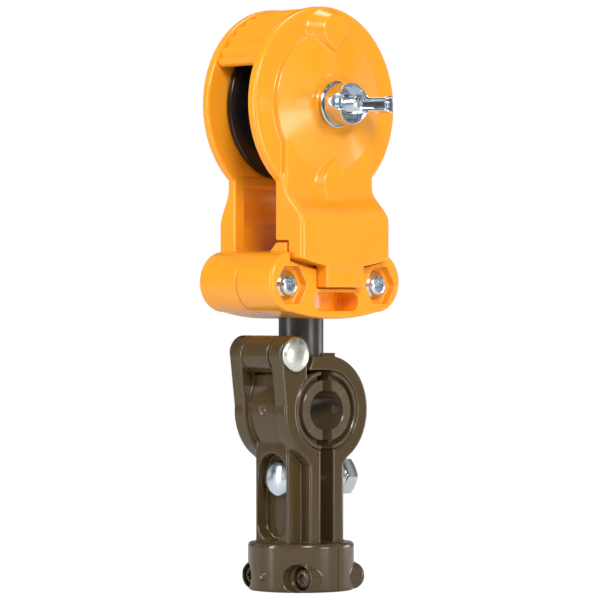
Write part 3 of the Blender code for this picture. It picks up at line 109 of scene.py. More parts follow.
# Clamp bolt, M10
BOLT_HEIGHT = 0.0528
BOLT_RADIUS = 0.0049
BOLT_HOLE_PLAY = 0.0009
BOLT_HEAD_RADIUS = 0.0089
BOLT_HEAD_HEIGHT = 0.0052
BOLT_TAIL = 0.0015
BOLT_HEAD_RIM = 0.22
HEAD_RECESS_WIDTH = 0.0193
HEAD_RECESS_DEPTH = 0.0062
HEAD_RECESS_TOP = 0.0649
CLAMP_NUT_FLATS = 0.0165
CLAMP_NUT_HEIGHT = 0.0080
NUT_TRIM = 0.06               # height of a nut's chamfer, as a share of its width
NUT_FACE = 0.475              # radius of its flat face, the same way
NUT_CORNER = 1.002            # how far the chamfer's turned body reaches past the corners
NUT_SINK = 0.0007
HEXAGON_EDGE = 0.00025
CLAMP_WASHER_RADIUS = 0.0095
CLAMP_WASHER_THICKNESS = 0.0012
SPRING_WASHER_RADIUS = 0.0086
SPRING_WASHER_THICKNESS = 0.0018

# Collar screws, M5, one in front of the pole and one behind it
COLLAR_SCREW_HEIGHT = 0.0066
COLLAR_SCREW_OFFSET = 0.0171
COLLAR_SCREW_RADIUS = 0.0021
COLLAR_SCREW_HEAD_RADIUS = 0.0047
COLLAR_SCREW_HEAD_HEIGHT = 0.0032
COLLAR_HEAD_SIDE = ((0.0, 0.0012), (0.0004, 0.0021))    # insets of the head's side, and drops from its seat
COLLAR_HEAD_SHOULDER = 0.0014
COLLAR_HEAD_ROUNDING = (0, 0.0003, 0.0008, 0.0008, 0.0012, 0.0006, 0)
COLLAR_WASHER_RADIUS = 0.0049
COLLAR_WASHER_THICKNESS = 0.0008
COLLAR_HEAD_PLAY = 0.0007
COLLAR_HOLE_PLAY = 0.0011
BOSS_RADIUS = 0.0064
BOSS_LEFT = 0.0165
BOSS_RIGHT = 0.0209
BOSS_END_WALL = 0.0045
INSERT_RADIUS = 0.0031

# Stem
STEM_RADIUS = 0.01065
STEM_WALL = 0.0032
STEM_SOCKET_FLOOR = 0.0021
STEM_TOP = 0.1480
STEM_FLANGE_RADIUS = 0.0140
STEM_FLANGE_THICKNESS = 0.0030
THRUST_WASHER_THICKNESS = 0.0015
STEM_SEAT_TOP = 0.1122

# Base block of the head
BASE_HALF_WIDTH = 0.0429
BASE_FRONT = 0.0240
BASE_BACK = 0.0254
BASE_MIDDLE = 0.1458
BASE_END_RADIUS = 0.0142
BASE_BELLY = 0.0032
BASE_EDGE = 0.0016
BASE_SEAM = 0.0002
STEP_RISE = 0.0042
STEP_START = 0.0085
STEP_SLOPE = 0.0045
WINDOW_WIDTH = 0.0294
WINDOW_HEIGHT = 0.0086
WINDOW_MIDDLE = 0.1365
WINDOW_BACK = 0.0120
STEM_BOSS_RADIUS = 0.0165

# Base screws, M6, and their nuts
BASE_SCREW_X = 0.0295
BASE_SCREW_HEIGHT = 0.1443
BASE_SCREW_RADIUS = 0.0029
BASE_SCREW_HEAD_RADIUS = 0.0068
BASE_SCREW_FLANGE = 0.0014
BASE_SCREW_DOME_RADIUS = 0.0054
BASE_SCREW_HEAD_HEIGHT = 0.0036
BASE_HEAD_SHOULDER = 0.0010
BASE_FLANGE_SLOPE = 0.0005
BASE_HEAD_ROUNDING = (0, 0.0004, 0.0012, 0.0006, 0.0002, 0.0004, 0.0004, 0.0002, 0)
DRIVE_RADIUS = 0.0027
DRIVE_DEPTH = 0.0020
BASE_POCKET_FLATS = 0.0173
BASE_POCKET_DEPTH = 0.0046
BASE_NUT_FLATS = 0.0100
BASE_NUT_HEIGHT = 0.0050
BASE_NUT_DEPTH = 0.0060

# Wheel and its bearing
AXLE_HEIGHT = 0.2293
WHEEL_RADIUS = 0.0352
WHEEL_RIM = 0.0024
GROOVE_FLOOR_RADIUS = 0.0215
GROOVE_ROUND = 0.0070
WHEEL_HUB_RADIUS = 0.0150
WHEEL_DISH = 0.0012
BUSH_RADIUS = 0.0090
SLEEVE_RADIUS = 0.0062
AXLE_RADIUS = 0.0040
AXLE_END = 0.0385
AXLE_HEAD_FLATS = 0.0130
AXLE_HEAD_HEIGHT = 0.0053
AXLE_HEAD_CHAMFER = (0.0013, 0.0008)
WHEEL_ROUND = 0.0006
RIM_ROUND = 0.0007

# Discs of the head
DISC_RADIUS = 0.0465
DISC_EDGE = 0.0012
FRONT_DISC_INNER = 0.0116
FRONT_DISC_OUTER = 0.0168
REAR_DISC_INNER = 0.0149
REAR_DISC_OUTER = 0.0193
PLATEAU_RADIUS = 0.0342
PLATEAU_RISE = 0.0024
CONE_TOP_RADIUS = 0.0150
CONE_RISE = 0.0043
WASHER_SEAT_RADIUS = 0.0142
WASHER_SEAT_DEPTH = 0.0006
HUB_RADIUS = 0.0105
COVER_HOLE_RADIUS = 0.0052
REAR_HUB_RADIUS = 0.0120
REAR_HUB_RISE = 0.0061

# Cover neck, its lobe and its tab
NECK_HALF_WIDTH = 0.0292
NECK_BACK = 0.0120
NECK_FRONT = 0.0195
NECK_STEPS = 28
SHELL_WALL = 0.0030
SKIRT_FOOT = 0.1652
LOBE_FRONT = 0.0306
LOBE_BACK = 0.0212
LOBE_TOP = 0.1745
SWELL_TOP = 0.1905
LOBE_EDGE = 0.0020
LOBE_SIDE_FOOT = 0.1568
LOBE_MIDDLE_FOOT = 0.1525
LOBE_GAP = 0.0014
TAB_HALF_WIDTH = 0.0125
TAB_FOOT = 0.1432
TAB_FRONT = 0.0298
TAB_BACK = 0.0222
TAB_GAP = 0.0006

# Bridge over the wheel, with finger ribs, and the two finger pads on the cover
BRIDGE_START = 29.0
BRIDGE_THICKNESS = 0.0066
BRIDGE_INSET = 0.0004
RIB_COUNT = 13
RIB_STEPS = 12
END_SHARES = (0.01, 0.1, 0.25, 0.45, 0.7)   # places of a rounded end's sections along it
RIB_DEPTH = 0.0017
PAD_HALF_WIDTH = 0.0138
PAD_FLANK = 0.0068             # width of a pad's sloping side
PAD_RISE = 0.0064
PAD_TIP_RADIUS = 0.0222        # distance of a pad's tip from the axle
UPPER_PAD_INSET = 0.0008
LOWER_PAD_REACH = 0.0040       # how far the lower pad runs past the disc's rim
PAD_SHOULDER = 0.58            # share of a pad's length at which it is widest

# Rear arm
ARM_INNER = 0.0146
ARM_OUTER = 0.0195
ARM_FLARE = 0.0057
ARM_FLARE_TOP = 0.1900
ARM_FLARE_FOOT = 0.1720
ARM_POCKET_HALF_WIDTH = 0.0235
ARM_POCKET_TOP = 0.1910
ARM_WALL = 0.0034

# Wing nut and its washer
WING_WASHER_RADIUS = 0.0109
WING_WASHER_THICKNESS = 0.0016
WING_HUB_RADIUS = 0.0098
WING_HUB_TOP_RADIUS = 0.0062
WING_HUB_HEIGHT = 0.0100
WING_SPAN = 0.0207
WING_RISE = 0.0182
WING_ROUND = 0.0046
WING_FOOT = 0.0030             # height of a wing's outer foot on the hub
WING_CELL = 0.00022
NUT_FRONT = WING_HUB_HEIGHT - 0.0010    # rim of the nut's drum above its foot
NUT_POCKET = 0.0048                     # floor of the pressed pockets above the foot
NUT_WALL = 0.0012
POCKET_END_WALL = 1.4 * NUT_WALL
POCKET_CORNER = (0.0010, 0.0014, 0.0008)    # below and above the wing's round end, and inset
BOSS_SINK = 0.0022                      # depth of the threaded boss under the drum's rim
PADDLE_NECK = 0.0031                    # half the width of a wing beside the drum
PADDLE_TIP = 0.0042                     # and at its rounded end
PADDLE_ROOT = 0.62                      # place of the neck, as a share of the span

# Values that follow from the sizes above
STEM_FOOT = BORE_HEIGHT + OUTER_LINER_RADIUS + STEM_SOCKET_FLOOR
BASE_TOP = BASE_MIDDLE + BASE_END_RADIUS
BASE_FOOT = BASE_MIDDLE - BASE_END_RADIUS - BASE_BELLY
STEP_TOP = BASE_TOP + STEP_RISE
PLATEAU = FRONT_DISC_OUTER + PLATEAU_RISE
CONE_TOP = PLATEAU + CONE_RISE
COVER_FACE = CONE_TOP - WASHER_SEAT_DEPTH
AXLE = (0.0, 0.0, AXLE_HEIGHT)
BOLT = (0.0, 0.0, BOLT_HEIGHT)
HINGE = (HINGE_X, 0.0, HINGE_HEIGHT)
REAR_FACE = REAR_DISC_OUTER + REAR_HUB_RISE
HEAD_POCKET_FLOOR = REAR_FACE - AXLE_HEAD_HEIGHT - TOUCH
RECESS_FLOOR = LEFT_BLOCK_REACH - HEAD_RECESS_DEPTH
SCREW_SEAT = BOSS_LEFT - COLLAR_SCREW_HEAD_HEIGHT - COLLAR_WASHER_THICKNESS - 2 * TOUCH
SCREW_POCKET_FLOOR = BASE_FRONT - BASE_POCKET_DEPTH
JAW_FOOT = COLLAR_HEIGHT - COLLAR_EDGE
SEAT_RADIUS = OUTER_LINER_RADIUS + TOUCH


SCENE = bpy.context.scene.collection
WORK = bpy.data.collections.new("work")
SCENE.children.link(WORK)
FRAMES = {
    "X": Matrix(((0, 0, 1), (1, 0, 0), (0, 1, 0))).to_4x4(),
    "Y": Matrix(((1, 0, 0), (0, 0, -1), (0, 1, 0))).to_4x4(),
    "Z": Matrix.Identity(4),
}
TURNS = {
    "X": Matrix.Rotation(math.pi / 2, 4, "Y"),
    "Y": Matrix.Rotation(math.pi / 2, 4, "X"),
    "Z": Matrix.Identity(4),
}


# Shape helpers

def placed(name, data, collection=WORK):
    """A new object of the given data, in a collection."""
    item = bpy.data.objects.new(name, data)
    collection.objects.link(item)
    return item


def from_bmesh(name, shape):
    bmesh.ops.recalc_face_normals(shape, faces=shape.faces)
    mesh = bpy.data.meshes.new(name)
    shape.to_mesh(mesh)
    shape.free()
    return placed(name, mesh)


def baked(item, weld=True):
    """The evaluated shape of an object as a plain mesh in world space."""
    graph = bpy.context.evaluated_depsgraph_get()
    graph.update()
    mesh = bpy.data.meshes.new_from_object(item.evaluated_get(graph), depsgraph=graph)
    mesh.transform(item.matrix_world)
    name = item.name
    bpy.data.objects.remove(item, do_unlink=True)
    if not weld:
        return placed(name, mesh)
    shape = bmesh.new()
    shape.from_mesh(mesh)
    bpy.data.meshes.remove(mesh)
    bmesh.ops.remove_doubles(shape, verts=shape.verts, dist=WELD)
    bmesh.ops.dissolve_degenerate(shape, edges=shape.edges, dist=WELD)
    return from_bmesh(name, shape)


def box(low, high):
    shape = bmesh.new()
    bmesh.ops.create_cube(shape, size=1.0)
    low, high = Vector(low), Vector(high)
    size = Matrix.Diagonal((*(high - low), 1.0))
    bmesh.ops.transform(shape, matrix=Matrix.Translation((low + high) / 2) @ size, verts=shape.verts)
    return from_bmesh("box", shape)


def side_box(near, far, deep, low, high):
    """A box between two values of X, in any order, as deep in front as behind."""
    return box((min(near, far), -deep, low), (max(near, far), deep, high))


def rod(axis, start, end, radius, centre=(0.0, 0.0, 0.0), steps=SMALL, top_radius=None, turn=0.0):
    """A cylinder or cone along a world axis, between two values of that axis."""
    shape = bmesh.new()
    last = radius if top_radius is None else top_radius
    bmesh.ops.create_cone(
        shape, cap_ends=True, segments=steps, radius1=radius, radius2=last, depth=end - start,
        matrix=Matrix.Rotation(turn, 4, "Z"),
    )
    place = Vector(centre)
    place["XYZ".index(axis)] = (start + end) / 2
    turned_to = TURNS[axis] if axis != "Y" else Matrix.Rotation(-math.pi / 2, 4, "X")
    bmesh.ops.transform(shape, matrix=Matrix.Translation(place) @ turned_to, verts=shape.verts)
    return from_bmesh("rod", shape)


def hexagon(axis, start, end, flats, centre, corners_up=True):
    turn = math.pi / 6 if corners_up else 0.0
    if axis == "X":
        turn = 0.0 if corners_up else math.pi / 6
    return rod(axis, start, end, flats / math.sqrt(3), centre, 6, None, turn)


def turned(profile, axis, centre=(0.0, 0.0, 0.0), steps=MEDIUM):
    """A turned solid: (radius, height) points that run down the outer side, turned about an axis."""
    shape = bmesh.new()
    rings = []
    for radius, height in profile:
        if radius < 1e-7:
            rings.append([shape.verts.new((0.0, 0.0, height))])
            continue
        ring = []
        for i in range(steps):
            angle = 2 * math.pi * i / steps
            ring.append(shape.verts.new((radius * math.cos(angle), radius * math.sin(angle), height)))
        rings.append(ring)
    closed = profile[0][0] > 1e-7
    count = len(rings)
    for k in range(count if closed else count - 1):
        a, b = rings[k], rings[(k + 1) % count]
        for i in range(steps):
            j = (i + 1) % steps
            if len(a) == 1:
                shape.faces.new((a[0], b[i], b[j]))
            elif len(b) == 1:
                shape.faces.new((a[j], a[i], b[0]))
            else:
                shape.faces.new((a[i], b[i], b[j], a[j]))
    bmesh.ops.transform(shape, matrix=Matrix.Translation(centre) @ TURNS[axis], verts=shape.verts)
    return from_bmesh("turned", shape)


def rounded(profile, radius, steps=4):
    """A profile with its inner corners rounded; radius is one number, or one for each point."""
    result = []
    count = len(profile)
    for i, point in enumerate(profile):
        size = radius[i] if isinstance(radius, (list, tuple)) else radius
        if i in (0, count - 1) or size <= 0:
            result.append(point)
            continue
        here = Vector(point)
        before = Vector(profile[i - 1]) - here
        after = Vector(profile[i + 1]) - here
        cut_length = min(size, before.length * 0.49, after.length * 0.49)
        start = here + before.normalized() * cut_length
        end = here + after.normalized() * cut_length
        for k in range(steps + 1):
            t = k / steps
            bent = start * (1 - t) ** 2 + here * (2 * t * (1 - t)) + end * t * t
            result.append((bent.x, bent.y))
    return result


def plate(loops, axis, low, high, rounding=0.0, steps=1):
    """A flat outline, or several with holes, as a solid from low to high along an axis."""
    curve = bpy.data.curves.new("plate", "CURVE")
    curve.dimensions = "2D"
    curve.fill_mode = "BOTH"
    curve.extrude = (high - low) / 2 - rounding
    curve.bevel_depth = rounding
    curve.offset = -rounding
    curve.bevel_resolution = steps + 1 if rounding else 0
    for loop in loops:
        spline = curve.splines.new("POLY")
        spline.points.add(len(loop) - 1)
        for point, (u, v) in zip(spline.points, loop):
            point.co = (u, v, 0.0, 1.0)
        spline.use_cyclic_u = True
    item = placed("plate", curve)
    middle = Vector((0.0, 0.0, 0.0))
    middle["XYZ".index(axis)] = (low + high) / 2
    item.matrix_world = Matrix.Translation(middle) @ FRAMES[axis]
    return baked(item)


def boolean(item, others, operation):
    for other in others:
        step = item.modifiers.new(operation, "BOOLEAN")
        step.operation = operation
        step.solver = "EXACT"
        step.object = other
        item = baked(item)
        bpy.data.objects.remove(other, do_unlink=True)
    return item


def join(item, *others):
    return boolean(item, others, "UNION")


def cut(item, *others):
    return boolean(item, others, "DIFFERENCE")


def meet(item, *others):
    return boolean(item, others, "INTERSECT")


def softened(item, cell=CELL, passes=4):
    """Remesh a shape and relax it, which rounds its edges as moulding does."""
    remesh = item.modifiers.new("remesh", "REMESH")
    remesh.mode = "VOXEL"
    remesh.voxel_size = cell
    relax = item.modifiers.new("relax", "SMOOTH")
    relax.factor = 0.5
    relax.iterations = passes
    return baked(item, weld=False)


def polar(centre, radius, angle):
    return (centre[0] + radius * math.cos(angle), centre[1] + radius * math.sin(angle))


def arc(centre, radius, start, end, steps):
    """Points on an arc, in degrees, both ends included."""
    count = steps * ARC_FINE
    return [polar(centre, radius, math.radians(start + (end - start) * i / count)) for i in range(count + 1)]


STAR_WAVE = 0.14              # half the depth between the lobes, as a share of the radius


def star_points(centre, radius, steps=72):
    """A six-lobed drive recess."""
    points = []
    for i in range(steps):
        angle = 2 * math.pi * i / steps
        points.append(polar(centre, radius * (1.0 - STAR_WAVE + STAR_WAVE * math.cos(6 * angle)), angle))
    return points


# Shapes of the moulded pieces

def slot_outline(centre, width, height, steps=8):
    """A rounded slot, longer along u or along v."""
    radius = min(width, height) / 2
    along = (max(width, height)) / 2 - radius
    if width >= height:
        right = arc((centre[0] + along, centre[1]), radius, -90, 90, steps)
        left = arc((centre[0] - along, centre[1]), radius, 90, 270, steps)
        return right + left
    top = arc((centre[0], centre[1] + along), radius, 0, 180, steps)
    foot = arc((centre[0], centre[1] - along), radius, 180, 360, steps)
    return top + foot


def arc_through(half_width, sagitta):
    """Radius of the circle that sags by the given amount over a half width."""
    return (half_width ** 2 + sagitta ** 2) / (2 * sagitta)


def sagging(half_width, ends, middle, steps):
    """A shallow arc from right to left, at height ends at its ends and middle at its centre."""
    radius = arc_through(half_width, abs(ends - middle))
    points = []
    steps *= ARC_FINE
    for i in range(steps + 1):
        u = half_width * (1 - 2 * i / steps)
        drop = radius - math.sqrt(radius ** 2 - u ** 2)
        points.append((u, middle + math.copysign(drop, ends - middle)))
    return points


def collar_half(side):
    """Half of the collar and of its two screw bosses, on one side of the seam."""
    outer = COLLAR_RADIUS
    ring = turned(
        [
            (0.0, COLLAR_HEIGHT), (outer - COLLAR_EDGE, COLLAR_HEIGHT),
            (outer - COLLAR_EDGE * 0.3, COLLAR_HEIGHT - COLLAR_EDGE * 0.3),
            (outer, COLLAR_HEIGHT - COLLAR_EDGE), (outer, COLLAR_EDGE / 2),
            (outer - COLLAR_EDGE / 2, 0.0), (0.0, 0.0),
        ],
        "Z", steps=ROUND,
    )
    collar = join(ring, *[collar_boss(way) for way in (-1, 1)])
    far = COLLAR_RADIUS * 2
    near = SEAM / 2 * side
    return meet(collar, side_box(near, far * side, far, -far, far))


def collar_screw_centre(way):
    return (0.0, way * COLLAR_SCREW_OFFSET, COLLAR_SCREW_HEIGHT)


def base_screw_centre(side):
    return (side * BASE_SCREW_X, 0.0, BASE_SCREW_HEIGHT)


def collar_boss(way):
    """Round boss along one collar screw, with a rounded right end."""
    edge = COLLAR_EDGE
    left = -(BOSS_LEFT + edge)
    profile = [
        (0.0, BOSS_RIGHT), (BOSS_RADIUS - 2 * edge, BOSS_RIGHT),
        (BOSS_RADIUS - edge * 0.6, BOSS_RIGHT - edge * 0.6),
        (BOSS_RADIUS, BOSS_RIGHT - 2 * edge), (BOSS_RADIUS, left), (0.0, left),
    ]
    return turned(profile, "X", collar_screw_centre(way), MEDIUM)


def collar_screw_cutters(side):
    """Holes, head pockets, scoops and insert pockets of the two collar screws, as they cut one half."""
    cutters = []
    far = -2 * COLLAR_RADIUS
    for way in (-1, 1):
        centre = collar_screw_centre(way)
        if side < 0:
            hole = COLLAR_SCREW_RADIUS + COLLAR_HOLE_PLAY
            pocket = COLLAR_WASHER_RADIUS + COLLAR_HEAD_PLAY
            cutters.append(rod("X", far, SEAM, hole, centre))
            cutters.append(rod("X", far, -SCREW_SEAT, pocket, centre, MEDIUM))
            cutters.append(rod("X", far, -BOSS_LEFT, BOSS_RADIUS + OVERLAP, centre, MEDIUM + 2))
        else:
            end = BOSS_RIGHT - BOSS_END_WALL
            cutters.append(rod("X", -SEAM, end + TOUCH, INSERT_RADIUS + TOUCH, centre))
    return cutters


def ring_centre(side):
    return (HALF_SHIFT * side, BORE_HEIGHT)


def neck_corner(side):
    """Angle at which the ring runs into the neck, in degrees from straight down, and the knee's height."""
    angle = math.degrees(math.asin((NECK_REACH - HALF_SHIFT) / JAW_RING_RADIUS))
    knee = BORE_HEIGHT - JAW_RING_RADIUS * math.cos(math.radians(angle)) - HALF_SHIFT
    return angle, (side * NECK_REACH, knee)


def left_flange_outline():
    """Outline of the swing jaw's front and rear flange: ear, ring and neck."""
    angle, knee = neck_corner(-1)
    inner = HINGE_X + HINGE_RADIUS
    ear = arc((HINGE_X, HINGE_HEIGHT), HINGE_RADIUS, 0, 172, 12)
    ring = arc(ring_centre(-1), JAW_RING_RADIUS, 175, 262 - angle, 10)
    foot = [(0.0, JAW_FOOT), (0.0, BORE_HEIGHT), (inner, BORE_HEIGHT + WEB_RADIUS / 2)]
    return foot + ear + ring + [knee, (-NECK_REACH, JAW_FOOT)]


def right_flange_outline():
    """Outline of the fixed jaw's front and rear flange: ring, neck and a flat top towards the ear."""
    angle, knee = neck_corner(1)
    inner = HINGE_X + HINGE_RADIUS
    top = BORE_HEIGHT + JAW_RING_RADIUS
    ring = arc(ring_centre(1), JAW_RING_RADIUS, angle - 82, 98, 20)
    head = [(inner, top), (inner, BORE_HEIGHT + OUTER_LINER_RADIUS), (0.0, BORE_HEIGHT)]
    return [(0.0, JAW_FOOT), (NECK_REACH, JAW_FOOT), knee] + ring + head


def web_outline(side):
    """Outline of the web between a jaw's flanges, from the block up to the hinge or the stem."""
    ring = ring_centre(side)
    low = math.degrees(math.asin((BLOCK_TOP - BORE_HEIGHT) / WEB_RADIUS)) - 12
    start = -side * OVERLAP
    foot = (start, BLOCK_TOP - WEB_RADIUS / 4)
    if side < 0:
        inner = HINGE_X + HINGE_RADIUS - OVERLAP
        top = HINGE_HEIGHT - HINGE_RADIUS - SLIT
        bulge = arc(ring, WEB_RADIUS, 180 - WEB_FLAT_ANGLE, 180 - low, 14)
        head = [(start, BORE_HEIGHT), (inner, BORE_HEIGHT + WEB_RADIUS / 2)]
        head += [(inner, top), (bulge[0][0], top)]
        return head + bulge + [foot]
    bulge = arc(ring, WEB_RADIUS, low, 60, 14)
    reach = STEM_RADIUS + HALF_SHIFT
    head = [(reach, STEM_SEAT_TOP), (-reach, STEM_SEAT_TOP), (-reach, BORE_HEIGHT + INNER_LINER_RADIUS)]
    return [foot] + bulge + head + [(start, BORE_HEIGHT)]


def block_solid(side):
    """Block that the clamp bolt passes through."""
    reach = LEFT_BLOCK_REACH if side < 0 else RIGHT_BLOCK_REACH
    foot = JAW_FOOT - JAW_EDGE
    start = -2 * side * OVERLAP
    outline = [(start, foot), (reach * side, foot), (reach * side, BLOCK_TOP), (start, BLOCK_TOP)]
    if side < 0:
        outline.reverse()
    return plate([outline], "Y", -BLOCK_HALF_DEPTH, BLOCK_HALF_DEPTH, JAW_EDGE)


def jaw_flanges(outline):
    """Front and rear flange of a jaw."""
    inner = BLOCK_HALF_DEPTH - JAW_EDGE - OVERLAP
    outer = JAW_HALF_DEPTH
    return [plate([outline], "Y", low, high, JAW_EDGE) for low, high in ((-outer, -inner), (inner, outer))]


def jaw_body(side, outline):
    """Web, block and flanges of a jaw, cut back to the slot and to the liner's seat."""
    half = BLOCK_HALF_DEPTH - OVERLAP
    body = plate([web_outline(side)], "Y", -half, half)
    body = join(body, block_solid(side), *jaw_flanges(outline))
    far = -side * COLLAR_RADIUS * 2
    near = side * SLOT_WIDTH / 2
    deep = 2 * JAW_HALF_DEPTH
    slot = side_box(near, far, deep, 0.0, BORE_HEIGHT)
    return cut(body, liner_seat(side), slot)


def hinge_rod(low, high, radius=HINGE_RADIUS):
    return rod("Y", low, high, radius, HINGE, MEDIUM)


def liner_seat(side):
    deep = 2 * JAW_HALF_DEPTH
    return rod("Y", -deep, deep, SEAT_RADIUS, (HALF_SHIFT * side, 0.0, BORE_HEIGHT), ROUND)


def pole_socket():
    return rod("Z", -COLLAR_HEIGHT, COLLAR_HEIGHT - COLLAR_ROOF, POLE_BORE_RADIUS, steps=ROUND)


def shoulder_outline():
    """Web that carries the hinge knuckle from the stem's seat."""
    top = HINGE_HEIGHT + HINGE_RADIUS - OVERLAP
    under = BORE_HEIGHT + OUTER_LINER_RADIUS
    return [
        (HINGE_X, HINGE_HEIGHT - HINGE_RADIUS * 0.8), (-STEM_RADIUS, under), (0.0, under),
        (STEM_RADIUS / 2, STEM_SEAT_TOP - JAW_EDGE), (-STEM_RADIUS / 3, top), (HINGE_X, top),
    ]


def fixed_jaw():
    """Right jaw: half collar, block, ring around the bore, hinge knuckle and the stem's socket."""
    half = KNUCKLE_HALF_LENGTH
    deep = 2 * JAW_HALF_DEPTH
    shoulder = plate([shoulder_outline()], "Y", OVERLAP - half, half - OVERLAP, JAW_EDGE)
    body = join(jaw_body(1, right_flange_outline()), hinge_rod(-half, half), shoulder)
    under = BORE_HEIGHT + SEAT_RADIUS + TOUCH
    above_left_half = box((HINGE_X + 2 * OVERLAP, -deep, BORE_HEIGHT - SLOT_WIDTH), (HALF_SHIFT, deep, under))
    around_knuckle = cut(above_left_half, hinge_rod(-deep, deep))
    outside = half + TOUCH / 2
    relief = [hinge_rod(*ends, HINGE_RELIEF_RADIUS) for ends in ((-deep, -outside), (outside, deep))]
    body = join(cut(body, around_knuckle, *relief), collar_half(1))
    socket = rod("Z", STEM_FOOT - TOUCH, HINGE_HEIGHT * 2, STEM_RADIUS + TOUCH, steps=MEDIUM)
    pin_hole = hinge_rod(-deep, deep, PIN_RADIUS + TOUCH)
    hole = BOLT_RADIUS + BOLT_HOLE_PLAY
    bolt_hole = rod("X", 0.0, 2 * RIGHT_BLOCK_REACH, hole, BOLT)
    return cut(body, socket, pin_hole, bolt_hole, pole_socket(), *collar_screw_cutters(1))


def swing_jaw():
    """Left jaw: half collar, block with the bolt's recess, web, flanges and two hinge ears."""
    deep = 2 * JAW_HALF_DEPTH
    inner = KNUCKLE_HALF_LENGTH + RUN
    outer = JAW_HALF_DEPTH - 2 * JAW_EDGE
    ears = [hinge_rod(*ends, HINGE_RADIUS - OVERLAP) for ends in ((-outer, -inner), (inner, outer))]
    body = join(jaw_body(-1, left_flange_outline()), *ears)
    body = join(body, collar_half(-1))
    hole = BOLT_RADIUS + BOLT_HOLE_PLAY
    bolt_hole = rod("X", -2 * LEFT_BLOCK_REACH, 0.0, hole, BOLT)
    height = HEAD_RECESS_TOP - COLLAR_HEIGHT - COLLAR_EDGE / 2
    middle = HEAD_RECESS_TOP - height / 2
    recess = plate(
        [slot_outline((0.0, middle), HEAD_RECESS_WIDTH, height)], "X", -2 * LEFT_BLOCK_REACH, -RECESS_FLOOR
    )
    pin_hole = hinge_rod(-deep, deep, PIN_RADIUS + RUN)
    return cut(body, pin_hole, bolt_hole, recess, pole_socket(), *collar_screw_cutters(-1))


def stem_cavity():
    """Space that the stem, its flange and the thrust washer turn in."""
    low = STEM_TOP - STEM_FLANGE_THICKNESS - RUN
    high = STEM_TOP + THRUST_WASHER_THICKNESS + RUN + TOUCH
    neck = rod("Z", BASE_FOOT - BASE_BELLY, low + RUN, STEM_RADIUS + RUN, steps=MEDIUM)
    return neck, rod("Z", low, high, STEM_FLANGE_RADIUS + RUN, steps=MEDIUM)


def base_outline():
    """Rounded ends, a flat top and a slightly bellied underside."""
    reach = BASE_HALF_WIDTH - BASE_END_RADIUS
    right = arc((reach, BASE_MIDDLE), BASE_END_RADIUS, -90, 90, 16)
    left = arc((-reach, BASE_MIDDLE), BASE_END_RADIUS, 90, 270, 16)
    belly = sagging(reach, BASE_MIDDLE - BASE_END_RADIUS, BASE_FOOT, 16)[::-1]
    return right + left + belly[1:-1]


def base_half(back, front):
    """Half of the base between two depths, rounded only where it faces outwards."""
    over = 2 * BASE_EDGE
    wide = 2 * BASE_SCREW_X + over
    if back > -BASE_SEAM:
        body = plate([base_outline()], "Y", -front, over, BASE_EDGE, 4)
        return cut(body, box((-wide, -back, -over), (wide, 2 * over, BASE_TOP + over)))
    body = plate([base_outline()], "Y", -over, -back, BASE_EDGE, 4)
    return cut(body, box((-wide, -2 * over, -over), (wide, -front, BASE_TOP + over)))


def base_screw_holes(radius, start, end):
    return [rod("Y", -end, -start, radius, base_screw_centre(side)) for side in (-1, 1)]


def base_hexagons(start, end, flats):
    return [hexagon("Y", start, end, flats, base_screw_centre(side)) for side in (-1, 1)]


def lobe_outline(grow=0.0):
    """Front outline of the cover's neck and lobe, with its shallow arc at the foot."""
    half = NECK_HALF_WIDTH + grow
    foot = sagging(half, LOBE_SIDE_FOOT - grow, LOBE_MIDDLE_FOOT - grow, 12)[::-1]
    return foot + [(half, AXLE_HEIGHT), (-half, AXLE_HEIGHT)]


def front_base():
    """Front half of the base: screw pockets, window, and the seat of the cover's lobe and tab."""
    body = base_half(BASE_SEAM / 2, BASE_FRONT)
    slope_end = STEP_START + STEP_SLOPE
    profile = [
        (-STEP_START, BASE_TOP - BASE_EDGE), (-STEP_START, BASE_TOP), (-slope_end, STEP_TOP),
        (-(LOBE_BACK - LOBE_GAP), STEP_TOP), (-(LOBE_BACK - LOBE_GAP), BASE_TOP - BASE_EDGE),
    ]
    body = join(body, plate([profile], "X", -NECK_HALF_WIDTH, NECK_HALF_WIDTH))
    seat = plate([lobe_outline(LOBE_GAP)], "Y", -BASE_FRONT * 2, -(LOBE_BACK - LOBE_GAP))
    low = TAB_FOOT - TAB_GAP
    half = TAB_HALF_WIDTH + TAB_GAP
    notch = box((-half, -BASE_FRONT * 2, low), (half, -(TAB_BACK - TAB_GAP), BASE_TOP))
    pockets = base_hexagons(-BASE_FRONT * 2, -SCREW_POCKET_FLOOR, BASE_POCKET_FLATS)
    window = plate(
        [slot_outline((0.0, WINDOW_MIDDLE), WINDOW_WIDTH, WINDOW_HEIGHT)], "Y", -BASE_FRONT * 2, -WINDOW_BACK
    )
    core = rod("Z", BASE_FOOT, BASE_TOP, STEM_BOSS_RADIUS, steps=MEDIUM)
    holes = base_screw_holes(BASE_SCREW_RADIUS + TOUCH, -BASE_SEAM, BASE_FRONT)
    return cut(body, seat, notch, *pockets, cut(window, core), *stem_cavity(), *holes)


def swell(height, low, high, start, end):
    """Smooth change from start, at or above the height high, to end, at or below the height low."""
    share = min(1.0, max(0.0, (high - height) / (high - low)))
    share = share * share * (3.0 - 2.0 * share)
    return start + (end - start) * share


def arm_back(height, wall=0.0):
    """Depth of the rear arm's back face, as a positive distance behind the plane Y = 0."""
    return swell(height, ARM_FLARE_FOOT, ARM_FLARE_TOP, ARM_OUTER, ARM_OUTER + ARM_FLARE) - wall


def face_profile(face, edge, low, high, wall=0.0, steps=40):
    """Side view between a straight edge and a curved face, whose depth follows from the height."""
    heights = [low + (high - low) * i / steps for i in range(steps + 1)]
    return [(edge, low)] + [(face(z, wall), z) for z in heights] + [(edge, high)]


